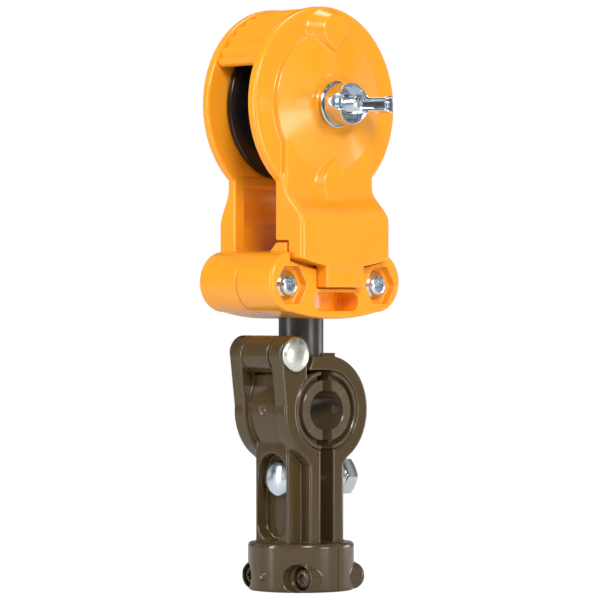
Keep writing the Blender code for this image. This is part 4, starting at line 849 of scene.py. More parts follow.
def rear_body():
    """Rear disc, arm and rear half of the base, moulded as one."""
    edge = DISC_EDGE
    inner = -REAR_DISC_INNER
    outer = -REAR_DISC_OUTER
    disc = turned(
        [
            (0.0, inner), (DISC_RADIUS - edge / 2, inner), (DISC_RADIUS, inner - edge / 2),
            (DISC_RADIUS, outer + edge), (DISC_RADIUS - edge * 0.3, outer + edge * 0.3),
            (DISC_RADIUS - edge, outer), (PLATEAU_RADIUS, outer),
            (PLATEAU_RADIUS - PLATEAU_RISE / 2, outer - PLATEAU_RISE),
            (REAR_HUB_RADIUS + PLATEAU_RISE, outer - PLATEAU_RISE), (REAR_HUB_RADIUS, -REAR_FACE + edge / 2),
            (REAR_HUB_RADIUS - edge / 2, -REAR_FACE), (0.0, -REAR_FACE),
        ],
        "Y", AXLE, ROUND,
    )
    arm_top = AXLE_HEIGHT - PLATEAU_RADIUS
    foot = BASE_TOP - BASE_END_RADIUS / 2
    side = face_profile(arm_back, ARM_INNER, foot, arm_top)
    arm = plate([side], "X", -NECK_HALF_WIDTH, NECK_HALF_WIDTH, JAW_EDGE)
    base = base_half(-BASE_BACK, -BASE_SEAM / 2)
    pocket = plate(
        [face_profile(arm_back, 0.0, BASE_TOP + TOUCH, ARM_POCKET_TOP, ARM_WALL)],
        "X", -ARM_POCKET_HALF_WIDTH, ARM_POCKET_HALF_WIDTH,
    )
    body = join(disc, arm, base)
    flats = AXLE_HEAD_FLATS + 2 * TOUCH
    head = hexagon("Y", HEAD_POCKET_FLOOR, BASE_BACK * 2, flats, AXLE)
    axle = rod("Y", 0.0, BASE_BACK, AXLE_RADIUS + TOUCH, AXLE)
    cutters = [pocket, head, axle, *stem_cavity()]
    cutters += base_screw_holes(BASE_SCREW_RADIUS + TOUCH, -BASE_BACK, BASE_SEAM)
    cutters += base_hexagons(BASE_BACK - BASE_NUT_DEPTH, BASE_BACK * 2, BASE_NUT_FLATS + 2 * TOUCH)
    return cut(body, *cutters)


def cover_disc():
    """Front disc with its stepped cone, the washer's seat and a hub on its inner side."""
    edge = DISC_EDGE
    inner = FRONT_DISC_INNER
    wall = SHELL_WALL
    hollow = PLATEAU_RADIUS - wall
    return turned(
        [
            (0.0, COVER_FACE), (WASHER_SEAT_RADIUS, COVER_FACE), (WASHER_SEAT_RADIUS + edge / 4, CONE_TOP),
            (CONE_TOP_RADIUS + edge, CONE_TOP - edge / 8), (PLATEAU_RADIUS - edge, PLATEAU),
            (PLATEAU_RADIUS, PLATEAU - edge * 0.4), (PLATEAU_RADIUS + edge / 2, FRONT_DISC_OUTER),
            (DISC_RADIUS - edge, FRONT_DISC_OUTER),
            (DISC_RADIUS - edge * 0.3, FRONT_DISC_OUTER - edge * 0.3),
            (DISC_RADIUS, FRONT_DISC_OUTER - edge), (DISC_RADIUS, inner + edge / 2),
            (DISC_RADIUS - edge / 2, inner), (hollow, inner), (hollow, PLATEAU - wall),
            (CONE_TOP_RADIUS, CONE_TOP - wall), (HUB_RADIUS, CONE_TOP - wall),
            (HUB_RADIUS, inner), (0.0, inner),
        ],
        "Y", AXLE, ROUND,
    )


def neck_front(height, wall=0.0):
    """Place of the cover's front face on its neck and lobe."""
    return wall - swell(height, LOBE_TOP, SWELL_TOP, NECK_FRONT, LOBE_FRONT)


def cover_neck():
    """Neck that swells forward into the lobe, with side skirts, cut to its arc at the foot."""
    half = NECK_HALF_WIDTH
    top = AXLE_HEIGHT - CONE_TOP_RADIUS
    foot = LOBE_MIDDLE_FOOT - LOBE_EDGE
    side = face_profile(neck_front, -NECK_BACK, foot, top, steps=NECK_STEPS)
    neck = plate([side], "X", -half - OVERLAP, half + OVERLAP, LOBE_EDGE, 4)
    front = plate([lobe_outline()], "Y", -LOBE_FRONT * 2, 0.0)
    behind = box((-2 * half, -LOBE_BACK, foot - half), (2 * half, half, SKIRT_FOOT))
    top = AXLE_HEIGHT - PLATEAU_RADIUS
    side = face_profile(neck_front, 0.0, SKIRT_FOOT - TOUCH, top, SHELL_WALL, NECK_STEPS)
    hollow = plate([side], "X", -half + SHELL_WALL, half - SHELL_WALL)
    return cut(meet(neck, front), behind, hollow)


def bridge_sections():
    """Angle, inner radius and outer radius all along the ribbed bridge, whose two ends are rounded."""
    half = BRIDGE_THICKNESS / 2
    middle = DISC_RADIUS - BRIDGE_INSET - half
    end_turn = math.degrees(half / middle)
    sections = []
    for share in END_SHARES:
        height = half * math.sqrt(1.0 - (1.0 - share) ** 2)
        sections.append((BRIDGE_START - end_turn * (1.0 - share), middle - height, middle + height))
    span = 180.0 - 2 * BRIDGE_START
    steps = RIB_COUNT * RIB_STEPS
    for i in range(steps + 1):
        wave = math.sin(math.pi * RIB_COUNT * i / steps) ** 2
        top = middle + half - RIB_DEPTH * (1.0 - wave)
        sections.append((BRIDGE_START + span * i / steps, middle - half, top))
    first_end = reversed(sections[:len(END_SHARES)])
    return sections + [(180.0 - angle, low, high) for angle, low, high in first_end]


def bridge():
    """Ribbed bridge that closes the head over the wheel."""
    shape = bmesh.new()
    rings = []
    for angle, low, high in bridge_sections():
        across, up = math.cos(math.radians(angle)), math.sin(math.radians(angle))
        ring = []
        for radius, depth in ((high, FRONT_DISC_INNER + TOUCH), (high, RUN - REAR_DISC_INNER),
                              (low, RUN - REAR_DISC_INNER), (low, FRONT_DISC_INNER + TOUCH)):
            ring.append(shape.verts.new((radius * across, -depth, AXLE_HEIGHT + radius * up)))
        rings.append(ring)
    for first, second in zip(rings, rings[1:]):
        for k in range(4):
            shape.faces.new((first[k], first[k - 1], second[k - 1], second[k]))
    shape.faces.new(rings[0])
    shape.faces.new(rings[-1])
    return from_bmesh("bridge", shape)


def pad_outline(half, tip, end, steps=48):
    """Teardrop outline that starts at its tip; heights are measured from the axle."""
    right = []
    for i in range(steps + 1):
        share = 0.5 - 0.5 * math.cos(math.pi * i / steps)
        if share < PAD_SHOULDER:
            width = math.sin(math.pi / 2 * share / PAD_SHOULDER) ** 0.9
        else:
            width = math.sqrt(max(0.0, 1.0 - ((share - PAD_SHOULDER) / (1.0 - PAD_SHOULDER)) ** 2))
        right.append((half * width, AXLE_HEIGHT + tip + (end - tip) * share))
    return right + [(-u, v) for u, v in reversed(right[1:-1])]


def finger_pad(tip, end):
    """Raised pad with sloping flanks, on the cover's centre line, pointed towards the axle."""
    way = math.copysign(PAD_FLANK / 2, end - tip)
    base = pad_outline(PAD_HALF_WIDTH, tip, end)
    top = pad_outline(PAD_HALF_WIDTH - PAD_FLANK, tip + way, end - way)
    shape = bmesh.new()
    back = [shape.verts.new((u, -FRONT_DISC_OUTER + TOUCH, v)) for u, v in base]
    front = [shape.verts.new((u, -(FRONT_DISC_OUTER + PAD_RISE), v)) for u, v in top]
    count = len(back)
    for i in range(count):
        j = (i + 1) % count
        shape.faces.new((back[i], back[j], front[j], front[i]))
    shape.faces.new(back)
    shape.faces.new(front[::-1])
    return from_bmesh("pad", shape)


def front_cover():
    """Cover that leans forward on its tab once the wing nut is backed off."""
    tab = plate(
        [[(-TAB_HALF_WIDTH, TAB_FOOT), (TAB_HALF_WIDTH, TAB_FOOT),
          (TAB_HALF_WIDTH, LOBE_SIDE_FOOT), (-TAB_HALF_WIDTH, LOBE_SIDE_FOOT)]],
        "Y", -TAB_FRONT, -TAB_BACK, JAW_EDGE,
    )
    body = join(cover_disc(), cover_neck())
    upper = finger_pad(PAD_TIP_RADIUS, DISC_RADIUS - UPPER_PAD_INSET)
    lower = finger_pad(-PAD_TIP_RADIUS, -DISC_RADIUS - LOWER_PAD_REACH)
    body = join(body, lower, upper, tab, bridge())
    hole = rod("Y", -2 * COVER_FACE, 0.0, COVER_HOLE_RADIUS, AXLE, MEDIUM)
    return cut(body, hole)


# Materials

def node(tree, kind, values=(), **settings):
    """A shader node with its settings; each value is a number, a colour or the output of another node."""
    item = tree.nodes.new("ShaderNode" + kind)
    for name, value in settings.items():
        setattr(item, name, value)
    fill(tree, item, values)
    return item


def fill(tree, item, values):
    for key, value in dict(values).items():
        if isinstance(value, bpy.types.NodeSocket):
            tree.links.new(value, item.inputs[key])
        else:
            item.inputs[key].default_value = value


def remap(tree, value, low, high, start, end):
    ends = {"Value": value, "To Min": low, "To Max": high, "From Min": start, "From Max": end}
    return node(tree, "MapRange", ends).outputs["Result"]


def surface(name):
    """A new material with its node tree and its Principled shader."""
    item = bpy.data.materials.new(name)
    item.use_nodes = True
    return item, item.node_tree, item.node_tree.nodes["Principled BSDF"]


NOISE_LOW, NOISE_HIGH = 0.3, 0.7            # the part of a noise that is spread over the whole range
WORN_FROM, WORN_TO = 0.515, 0.60            # how sharp an edge has to be to look rubbed
TONE_SCALE = 38.0
GLOSS_SCALE = 70.0
WEAR_SCALE = 160.0
SCRATCH_STRETCH = (260.0, 2200.0, 700.0)
SCRATCH_TURN = (0.3, 0.5, 0.9)
BUMP_DISTANCE = 0.0001
COAT_ROUGHNESS = 0.08


def material(name, colour, roughness, metallic=0.0, coat=0.0, vary=0.06, grain=0.0, grain_size=0.0004,
             rough_vary=0.08, wear=None, wear_amount=0.0, scratches=0.0, specular=0.5):
    """A procedural surface: blotches of tone, uneven gloss, fine grain or scratches, and rubbed edges."""
    item, tree, shader = surface(name)
    place = node(tree, "TexCoord").outputs["Object"]

    def noise(scale, detail, rough=0.5, vector=place):
        values = {"Scale": scale, "Detail": detail, "Roughness": rough, "Vector": vector}
        return node(tree, "TexNoise", values).outputs["Fac"]

    def spread(value, low, high):
        return remap(tree, value, low, high, NOISE_LOW, NOISE_HIGH)

    def mix(factor, first, second):
        blend = node(tree, "Mix", {"Factor": factor, "A": first, "B": second}, data_type="RGBA")
        return blend.outputs["Result"]

    dark = tuple(c * (1.0 - vary) for c in colour)
    light = tuple(min(1.0, c * (1.0 + vary)) for c in colour)
    base = mix(spread(noise(TONE_SCALE, 4.0), 0.0, 1.0), (*dark, 1.0), (*light, 1.0))
    if wear:
        edges = node(tree, "NewGeometry").outputs["Pointiness"]
        rubbed = remap(tree, edges, 0.0, wear_amount, WORN_FROM, WORN_TO)
        patches = spread(noise(WEAR_SCALE, 4.0), 0.35, 1.0)
        patchy = node(tree, "Math", {0: rubbed, 1: patches}, operation="MULTIPLY")
        base = mix(patchy.outputs["Value"], base, (*wear, 1.0))
    rough = spread(noise(GLOSS_SCALE, 5.0, 0.6), roughness * (1 - rough_vary), roughness * (1 + rough_vary))
    fill(tree, shader, {
        "Base Color": base, "Roughness": rough, "Metallic": metallic, "Coat Weight": coat,
        "Coat Roughness": COAT_ROUGHNESS, "Specular IOR Level": specular,
    })
    if scratches:
        turn = {"Vector": place, "Scale": SCRATCH_STRETCH, "Rotation": SCRATCH_TURN}
        height = noise(1.0, 3.0, 0.5, node(tree, "Mapping", turn).outputs["Vector"])
    elif grain:
        height = noise(1.0 / grain_size, 2.0)
    if scratches or grain:
        values = {"Strength": scratches or grain, "Distance": BUMP_DISTANCE, "Height": height}
        fill(tree, shader, {"Normal": node(tree, "Bump", values).outputs["Normal"]})
    return item


ORANGE = material("orange_plastic", (0.95, 0.355, 0.016), 0.20, vary=0.025, grain=0.05, grain_size=0.0007,
                  rough_vary=0.25, wear=(0.98, 0.42, 0.04), wear_amount=0.35, coat=0.10)
BROWN = material("brown_plastic", (0.071, 0.046, 0.0170), 0.17, vary=0.07, grain=0.16, grain_size=0.00035,
                 rough_vary=0.22, wear=(0.14, 0.105, 0.065), wear_amount=0.5, coat=0.20, specular=0.42)
BLACK = material("black_wheel", (0.010, 0.010, 0.011), 0.16, vary=0.2, scratches=0.06, rough_vary=0.35,
                 wear=(0.04, 0.04, 0.042), wear_amount=0.5)
STEM = material("stem_surface", (0.030, 0.024, 0.019), 0.33, vary=0.2, grain=0.10, grain_size=0.0004,
                rough_vary=0.2)
ZINC = material("zinc_bright", (0.66, 0.73, 0.80), 0.17, metallic=1.0, vary=0.06, scratches=0.20,
                rough_vary=0.45, wear=(0.90, 0.93, 0.95), wear_amount=0.5)
LINER = material("liner_plastic", (0.078, 0.053, 0.025), 0.17, vary=0.07, grain=0.10, grain_size=0.0004,
                 rough_vary=0.25, wear=(0.20, 0.16, 0.11), wear_amount=0.5)
ZINC_PIN = material("zinc_pin", (0.73, 0.75, 0.68), 0.26, metallic=1.0, vary=0.12, scratches=0.35,
                    rough_vary=0.5)
NUT = material("zinc_nut", (0.72, 0.74, 0.76), 0.21, metallic=1.0, vary=0.08, scratches=0.25, rough_vary=0.4)
# Collar screws and their washers are steel. Their dark brown colour is painted shade and a painted reflection
# of the brown collar around them.
SCREW_PAINTED_SHADE = material("screw_brown_painted_shade", (0.10, 0.072, 0.048), 0.30, metallic=0.35, vary=0.12, grain=0.1,
                 rough_vary=0.3, wear=(0.25, 0.20, 0.15), wear_amount=0.6)
BRONZE = material("bronze", (0.42, 0.27, 0.12), 0.35, metallic=1.0, vary=0.12, scratches=0.2)
NYLON = material("nylon", (0.55, 0.53, 0.48), 0.45, vary=0.06, grain=0.1)


# Placing pieces

def piece(item, name, body, nodes, finish, smooth=None):
    """Finish a shape: it rides on a body, stands for its CAD nodes, which it hides, and gets the given
    material.
    """
    item.name = name
    item.data.name = name
    item.data.materials.clear()
    item.data.materials.append(finish)
    item.data.shade_smooth()
    if smooth is not None:
        item.data.set_sharp_from_angle(angle=math.radians(smooth))
    WORK.objects.unlink(item)
    SCENE.objects.link(item)
    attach(item, body)
    if nodes:
        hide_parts(*nodes)
    return item


def finish_node(name, finish):
    """Give a solid that stays in view its better material."""
    data = NODES[name].data
    for i in range(max(1, len(data.materials))):
        if data.materials:
            data.materials[i] = finish
        else:
            data.materials.append(finish)


# Moulded pieces

DIMPLE_RADIUS = 0.0026         # marks left by ejector pins
DIMPLE_DEPTH = 0.0008


def ball(centre, radius):
    shape = bmesh.new()
    bmesh.ops.create_uvsphere(shape, u_segments=MEDIUM, v_segments=MEDIUM // 2, radius=radius)
    bmesh.ops.translate(shape, vec=centre, verts=shape.verts)
    return from_bmesh("ball", shape)


def dimpled(item, centre, way, radius=DIMPLE_RADIUS, depth=DIMPLE_DEPTH, knob=True):
    """A shallow round dent in a face that looks along X, with a low knob in its middle."""
    curve = (radius ** 2 + depth ** 2) / (2 * depth)
    x, y, z = centre
    item = cut(item, ball((x + way * (curve - depth), y, z), curve))
    if knob:
        item = join(item, ball((x - way * radius / 2, y, z), radius / 2))
    return item


def moulded(build, name, body, finish, passes=4, smooth=None, dents=()):
    shape = build()
    for centre, way in dents:
        shape = dimpled(shape, centre, way)
    return piece(softened(shape, passes=passes), name + "_moulding", body, [name], finish, smooth)


moulded(fixed_jaw, "fixed_jaw", "clamp", BROWN)
moulded(swing_jaw, "swing_jaw", "swing_jaw", BROWN, dents=(
    ((-HALF_SHIFT - WEB_RADIUS, 0.0, BORE_HEIGHT), -1), ((-COLLAR_RADIUS, 0.0, 0.0080), -1)))
moulded(rear_body, "rear_body", "head", ORANGE)
moulded(front_base, "front_base", "head", ORANGE)
moulded(front_cover, "front_cover", "cover", ORANGE)


# Liners of the bore: two half shells, one inside the other, with a step at their ends

def liner(side, outer, inner, slot, step=0.0):
    depth = JAW_HALF_DEPTH
    edge = LINER_EDGE
    lip = step or inner
    floor = depth - LINER_GROOVE_DEPTH
    groove = [(lip, -floor), (inner, -floor), (inner, floor), (lip, floor)] if step else []
    profile = [
        (lip + edge, depth), (outer - edge, depth), (outer, depth - edge), (outer, edge - depth),
        (outer - edge, -depth), (lip + edge, -depth), (lip, edge - depth), *groove, (lip, depth - edge),
    ]
    shell = turned(profile, "Y", (HALF_SHIFT * side, 0.0, BORE_HEIGHT), ROUND)
    near = slot / 2 * side
    far = 2 * outer * side
    return meet(shell, side_box(near, far, 2 * depth, BORE_HEIGHT - 2 * outer, BORE_HEIGHT + 2 * outer))


for side, word, body in ((-1, "left", "swing_jaw"), (1, "right", "clamp")):
    lip = INNER_LINER_RADIUS + LINER_GROOVE_WIDTH
    shell = liner(side, OUTER_LINER_RADIUS, INNER_LINER_RADIUS + TOUCH, OUTER_LINER_SLOT, lip)
    piece(shell, "outer_liner_shell_" + word, body, ["outer_liner_" + word], LINER, 28)
    shell = liner(side, INNER_LINER_RADIUS, BORE_RADIUS, INNER_LINER_SLOT)
    place = (side * (HALF_SHIFT + BORE_RADIUS), -LINER_DIMPLE_PLACE, BORE_HEIGHT)
    shell = dimpled(shell, place, -side, *LINER_DIMPLE, knob=False)
    piece(shell, "inner_liner_shell_" + word, body, ["inner_liner_" + word], LINER, 28)


# Hinge pin and its clip

def dome(radius, seat, height, rim, steps):
    """Profile of a domed head from crown to rim; rim is the share of its height that the rim keeps."""
    angles = [math.radians(90 * i / steps) for i in range(steps + 1)]
    return [(radius * math.sin(a), seat + height * (rim + (1.0 - rim) * math.cos(a))) for a in angles]


seat = JAW_HALF_DEPTH + TOUCH
groove = -seat
under_clip = groove - CLIP_THICKNESS - TOUCH
tail = under_clip - PIN_TAIL
neck = PIN_RADIUS - PIN_GROOVE_DEPTH
profile = dome(PIN_HEAD_RADIUS, seat, PIN_HEAD_HEIGHT, PIN_HEAD_RIM, 24) + [
    (PIN_HEAD_RADIUS, seat + EDGE), (PIN_HEAD_RADIUS - EDGE, seat), (PIN_RADIUS, seat), (PIN_RADIUS, groove),
    (neck, groove), (neck, under_clip), (PIN_RADIUS, under_clip), (PIN_RADIUS, tail + PIN_TAIL_EDGE),
    (PIN_RADIUS - PIN_TAIL_EDGE, tail), (0.0, tail),
]
piece(turned(profile, "Y", HINGE, ROUND), "hinge_pin_turned", "clamp", ["hinge_pin"], ZINC_PIN, 35)
inner = PIN_RADIUS + TOUCH
start = groove - CLIP_THICKNESS
clip = turned([(inner, groove), (CLIP_RADIUS - FINE, groove), (CLIP_RADIUS, groove - FINE),
               (CLIP_RADIUS, start + FINE), (CLIP_RADIUS - FINE, start), (inner, start)], "Y", HINGE, MEDIUM)
piece(clip, "hinge_clip_ring", "clamp", ["hinge_clip"], ZINC, 35)


# Threads, as pitch and depth

M5_THREAD = (0.0008, 0.0004)
M6_THREAD = (0.0010, 0.0005)
M8_THREAD = (0.00125, 0.0007)
M10_THREAD = (0.0015, 0.00075)
ROOT, FLANK = 0.12, 0.72          # widths of a thread's flat root and of its flank, as shares of half a pitch


def thread(axis, start, end, radius, pitch, depth, centre, chamfer=0.0008):
    """A shank whose surface follows a real helix; the thread fades out towards its start."""
    around = 64
    along = max(8, int((end - start) / pitch * (16)))
    shape = bmesh.new()
    rings = []
    for j in range(along + 1):
        height = start + (end - start) * j / along
        ring = []
        for i in range(around):
            angle = 2 * math.pi * i / around
            phase = (height / pitch - i / around) % 1.0
            crest = min(1.0, max(0.0, (1.0 - abs(2 * phase - 1.0) - ROOT) / FLANK))
            reach = radius - depth * (1.0 - crest) * min(1.0, (height - start) / pitch)
            if end - height < chamfer:
                reach = min(reach, radius - (chamfer - (end - height)))
            ring.append(shape.verts.new((reach * math.cos(angle), reach * math.sin(angle), height)))
        rings.append(ring)
    for a, b in zip(rings, rings[1:]):
        for i in range(around):
            k = (i + 1) % around
            shape.faces.new((a[i], a[k], b[k], b[i]))
    shape.faces.new(rings[0][::-1])
    shape.faces.new(rings[-1])
    bmesh.ops.transform(shape, matrix=Matrix.Translation(centre) @ TURNS[axis], verts=shape.verts)
    return from_bmesh("thread", shape)


def shank(item, name, body, finish):
    """The threaded part of a screw, whose head already stands for the node."""
    return piece(item, name, body, [], finish, None)


def bevelled(item, width, segments=3, angle=30):
    step = item.modifiers.new("bevel", "BEVEL")
    step.width = width
    step.segments = segments
    step.limit_method = "ANGLE"
    step.angle_limit = math.radians(angle)
    return baked(item, weld=False)


# Clamp bolt with its washers and nut

def ring_solid(axis, start, thickness, outer, inner, centre, edge=FINE, steps=MEDIUM):
    end = start + thickness
    return turned(
        [
            (inner + edge, end), (outer - edge, end), (outer, end - edge), (outer, start + edge),
            (outer - edge, start), (inner + edge, start), (inner, start + edge), (inner, end - edge),
        ],
        axis, centre, steps,
    )


def nut_solid(axis, start, height, flats, bore, centre):
    """Hexagonal nut with turned chamfers on both faces and a countersunk bore."""
    end = start + height
    corner = flats / math.sqrt(3) * NUT_CORNER
    low = flats * NUT_TRIM
    inside = flats * NUT_FACE
    body = hexagon(axis, *((-end, -start) if axis == "Y" else (start, end)), flats, centre)
    chamfer = [(0.0, end), (inside, end), (corner, end - low),
               (corner, start + low), (inside, start), (0.0, start)]
    body = meet(body, turned(chamfer, axis, centre, ROUND))
    wide = bore + NUT_SINK + TOUCH
    hole = [(0.0, end + TOUCH), (wide, end + TOUCH), (bore, end - NUT_SINK), (bore, start + NUT_SINK),
            (wide, start - TOUCH), (0.0, start - TOUCH)]
    return bevelled(cut(body, turned(hole, axis, centre, MEDIUM)), HEXAGON_EDGE, 2, 25)


washer_start = RIGHT_BLOCK_REACH + TOUCH
spring_start = washer_start + CLAMP_WASHER_THICKNESS + TOUCH
nut_start = spring_start + SPRING_WASHER_THICKNESS + TOUCH
bolt_end = nut_start + CLAMP_NUT_HEIGHT + BOLT_TAIL
seat = -(RECESS_FLOOR + TOUCH)
head = dome(BOLT_HEAD_RADIUS, seat, -BOLT_HEAD_HEIGHT, BOLT_HEAD_RIM, 28)
profile = [(0.0, seat), (BOLT_HEAD_RADIUS - EDGE, seat), (BOLT_HEAD_RADIUS, seat - EDGE)] + head[::-1]
piece(turned(profile, "X", BOLT, ROUND), "clamp_bolt_head", "clamp_bolt", ["clamp_bolt"], ZINC, 35)
item = thread("X", seat, bolt_end, BOLT_RADIUS, *M10_THREAD, BOLT)
shank(item, "clamp_bolt_shank", "clamp_bolt", ZINC)
bore = BOLT_RADIUS + TOUCH
ring = ring_solid("X", washer_start, CLAMP_WASHER_THICKNESS, CLAMP_WASHER_RADIUS, bore, BOLT)
piece(ring, "clamp_washer_ring", "clamp", ["clamp_washer"], ZINC, 35)
ring = ring_solid("X", spring_start, SPRING_WASHER_THICKNESS, SPRING_WASHER_RADIUS, bore, BOLT)
piece(ring, "clamp_spring_ring", "clamp", ["clamp_spring_washer"], ZINC, 35)
nut = nut_solid("X", nut_start, CLAMP_NUT_HEIGHT, CLAMP_NUT_FLATS, BOLT_RADIUS + THREAD_PLAY / 2, BOLT)
piece(nut, "clamp_nut_body", "clamp_nut", ["clamp_nut"], NUT, 30)


# Collar screws

def driven_head(profile, rounding, axis, centre, crown, edge):
    """A screw head turned from its profile, with a star drive in its crown."""
    head = turned(rounded(profile, rounding), axis, centre, ROUND)
    flat = [value for value, letter in zip(centre, "XYZ") if letter != axis]
    level = -crown if axis == "Y" else crown
    drive = plate([star_points(flat, DRIVE_RADIUS)], axis, level - DRIVE_DEPTH, level + DRIVE_DEPTH)
    return bevelled(cut(head, drive), edge, 2, 40)


for way, word in ((-1, "front"), (1, "back")):
    centre = collar_screw_centre(way)
    node_name = "collar_screw_" + word
    seat = -(SCREW_SEAT + COLLAR_WASHER_THICKNESS + 2 * TOUCH)
    crown = seat - COLLAR_SCREW_HEAD_HEIGHT
    radius = COLLAR_SCREW_HEAD_RADIUS
    profile = [(0.0, seat), (radius, seat)]
    profile += [(radius - inset, seat - drop) for inset, drop in COLLAR_HEAD_SIDE]
    profile += [(radius - COLLAR_HEAD_SHOULDER, crown + FINE), (DRIVE_RADIUS, crown), (0.0, crown)]
    screw = driven_head(profile, COLLAR_HEAD_ROUNDING, "X", centre, crown, 0.00012)
    piece(screw, "collar_screw_head_" + word, node_name, [node_name], SCREW_PAINTED_SHADE, 32)
    end = BOSS_RIGHT - BOSS_END_WALL - 2 * TOUCH
    item = thread("X", seat, end, COLLAR_SCREW_RADIUS, *M5_THREAD, centre, chamfer=0.0004)
    shank(item, "collar_screw_shank_" + word, node_name, SCREW_PAINTED_SHADE)
    start = -(SCREW_SEAT + TOUCH + COLLAR_WASHER_THICKNESS)
    bore = COLLAR_SCREW_RADIUS + TOUCH
    ring = ring_solid("X", start, COLLAR_WASHER_THICKNESS, COLLAR_WASHER_RADIUS, bore, centre)
    piece(ring, "collar_washer_ring_" + word, "collar_washer_" + word, ["collar_washer_" + word], SCREW_PAINTED_SHADE, 35)


# Stem

bore = STEM_RADIUS - STEM_WALL
flange = STEM_TOP - STEM_FLANGE_THICKNESS
tube = turned([(bore, STEM_TOP), (STEM_FLANGE_RADIUS, STEM_TOP), (STEM_FLANGE_RADIUS, flange),
               (STEM_RADIUS, flange), (STEM_RADIUS, STEM_FOOT), (bore, STEM_FOOT)], "Z", steps=ROUND)
piece(tube, "stem_tube", "clamp", ["stem"], STEM, 35)


# Base screws

for side, word in ((-1, "left"), (1, "right")):
    centre = base_screw_centre(side)
    seat = SCREW_POCKET_FLOOR + TOUCH
    rim = seat + BASE_SCREW_FLANGE
    crown = seat + BASE_SCREW_HEAD_HEIGHT
    inner, outer = BASE_SCREW_DOME_RADIUS, BASE_SCREW_HEAD_RADIUS
    profile = [
        (0.0, crown), (DRIVE_RADIUS + EDGE, crown), (inner - BASE_HEAD_SHOULDER, crown - EDGE),
        (inner, rim + EDGE), (inner + FINE, rim + FINE / 2), (outer - EDGE, rim - BASE_FLANGE_SLOPE),
        (outer, seat + 2 * FINE), (outer - EDGE, seat), (0.0, seat),
    ]
    screw = driven_head(profile, BASE_HEAD_ROUNDING, "Y", centre, crown, 0.00015)
    piece(screw, "base_screw_head_" + word, "head", ["base_screw_" + word], ZINC, 32)
    tail = BASE_BACK - BASE_NUT_DEPTH + BASE_NUT_HEIGHT
    item = thread("Y", -tail, seat, BASE_SCREW_RADIUS, *M6_THREAD, centre, chamfer=0.0)
    shank(item, "base_screw_shank_" + word, "head", ZINC)
    start = -(BASE_BACK - BASE_NUT_DEPTH + TOUCH) - BASE_NUT_HEIGHT
    nut = nut_solid("Y", start, BASE_NUT_HEIGHT, BASE_NUT_FLATS, BASE_SCREW_RADIUS + TOUCH, centre)
    piece(nut, "base_nut_body_" + word, "head", ["base_nut_" + word], NUT, 30)


# Axle bolt

seat = -(HEAD_POCKET_FLOOR + TOUCH)
item = thread("Y", seat, AXLE_END, AXLE_RADIUS, *M8_THREAD, AXLE, chamfer=0.0010)
shank(item, "axle_bolt_shank", "head", ZINC)
hexagon_head = hexagon("Y", -seat, -seat + AXLE_HEAD_HEIGHT, AXLE_HEAD_FLATS, AXLE)
corner = AXLE_HEAD_FLATS / math.sqrt(3)
end = seat - AXLE_HEAD_HEIGHT
wide, tall = AXLE_HEAD_CHAMFER
dressed = [(0.0, seat), (corner, seat), (corner, end + tall), (corner - wide, end), (0.0, end)]
item = bevelled(meet(hexagon_head, turned(dressed, "Y", AXLE, ROUND)), HEXAGON_EDGE, 2, 25)
piece(item, "axle_bolt_head", "head", ["axle_bolt"], ZINC, 30)


# Wheel and its bush

back, front = -(REAR_DISC_INNER - 2 * RUN), FRONT_DISC_INNER - 2 * RUN
middle, half = (back + front) / 2, (front - back) / 2
lean = math.atan2(half - WHEEL_RIM - GROOVE_ROUND, WHEEL_RADIUS - GROOVE_FLOOR_RADIUS - GROOVE_ROUND)
curve = []
for i in range(41):
    angle = (math.pi / 2 - lean) * (1 - i / 20)
    reach = GROOVE_FLOOR_RADIUS + GROOVE_ROUND * (1 - math.cos(angle))
    curve.append((reach, middle + GROOVE_ROUND * math.sin(angle)))
outer = WHEEL_RADIUS - 4 * WHEEL_DISH
near_side = [
    (BUSH_RADIUS + TOUCH, front), (WHEEL_HUB_RADIUS, front),
    (WHEEL_HUB_RADIUS + WHEEL_DISH, front - WHEEL_DISH), (outer - WHEEL_DISH, front - WHEEL_DISH),
    (outer, front), (WHEEL_RADIUS, front),
    (WHEEL_RADIUS, front - WHEEL_RIM),
]
far_side = [(r, 2 * middle - h) for r, h in reversed(near_side)]
sizes = [0, *[WHEEL_ROUND] * 4, *[RIM_ROUND] * 2]
profile = rounded(near_side + curve + far_side, sizes + [0] * len(curve) + sizes[::-1])
piece(turned(profile, "Y", AXLE, ROUND), "wheel_turned", "wheel", ["wheel"], BLACK, 40)
bush = ring_solid("Y", back, front - back, BUSH_RADIUS, SLEEVE_RADIUS + RUN, AXLE, 2 * FINE, ROUND)
piece(bush, "wheel_bush_ring", "wheel", ["wheel_bush"], BRONZE, 35)


# Wing nut and its washer

washer_start = COVER_FACE + TOUCH
nut_start = washer_start + WING_WASHER_THICKNESS + TOUCH
bore = AXLE_RADIUS + TOUCH
ring = ring_solid("Y", washer_start, WING_WASHER_THICKNESS, WING_WASHER_RADIUS, bore, AXLE, EDGE, ROUND)
piece(ring, "wing_washer_ring", "wing_washer", ["wing_washer"], ZINC, 35)


def nut_front_view(inset=0.0):
    """A round drum with a rounded paddle to each side."""
    radius = WING_HUB_RADIUS - inset
    neck, tip = PADDLE_NECK - inset, PADDLE_TIP - inset
    start = math.degrees(math.asin(neck / radius))
    root = WING_SPAN * PADDLE_ROOT
    half = [(root, -neck)] + arc((WING_SPAN - inset - tip, 0.0), tip, -75, 75, 16)
    half += [(root, neck)] + arc((0.0, 0.0), radius, start, 180 - start, 40)
    return [(u, AXLE_HEIGHT + v) for u, v in half] + [(-u, AXLE_HEIGHT - v) for u, v in half]


def nut_side_view(points):
    """A side view from its right half: distances from the axis and heights above the foot."""
    right = [(u, -(nut_start + v)) for u, v in points]
    return (right + [(-u, v) for u, v in reversed(right)])[::-1]


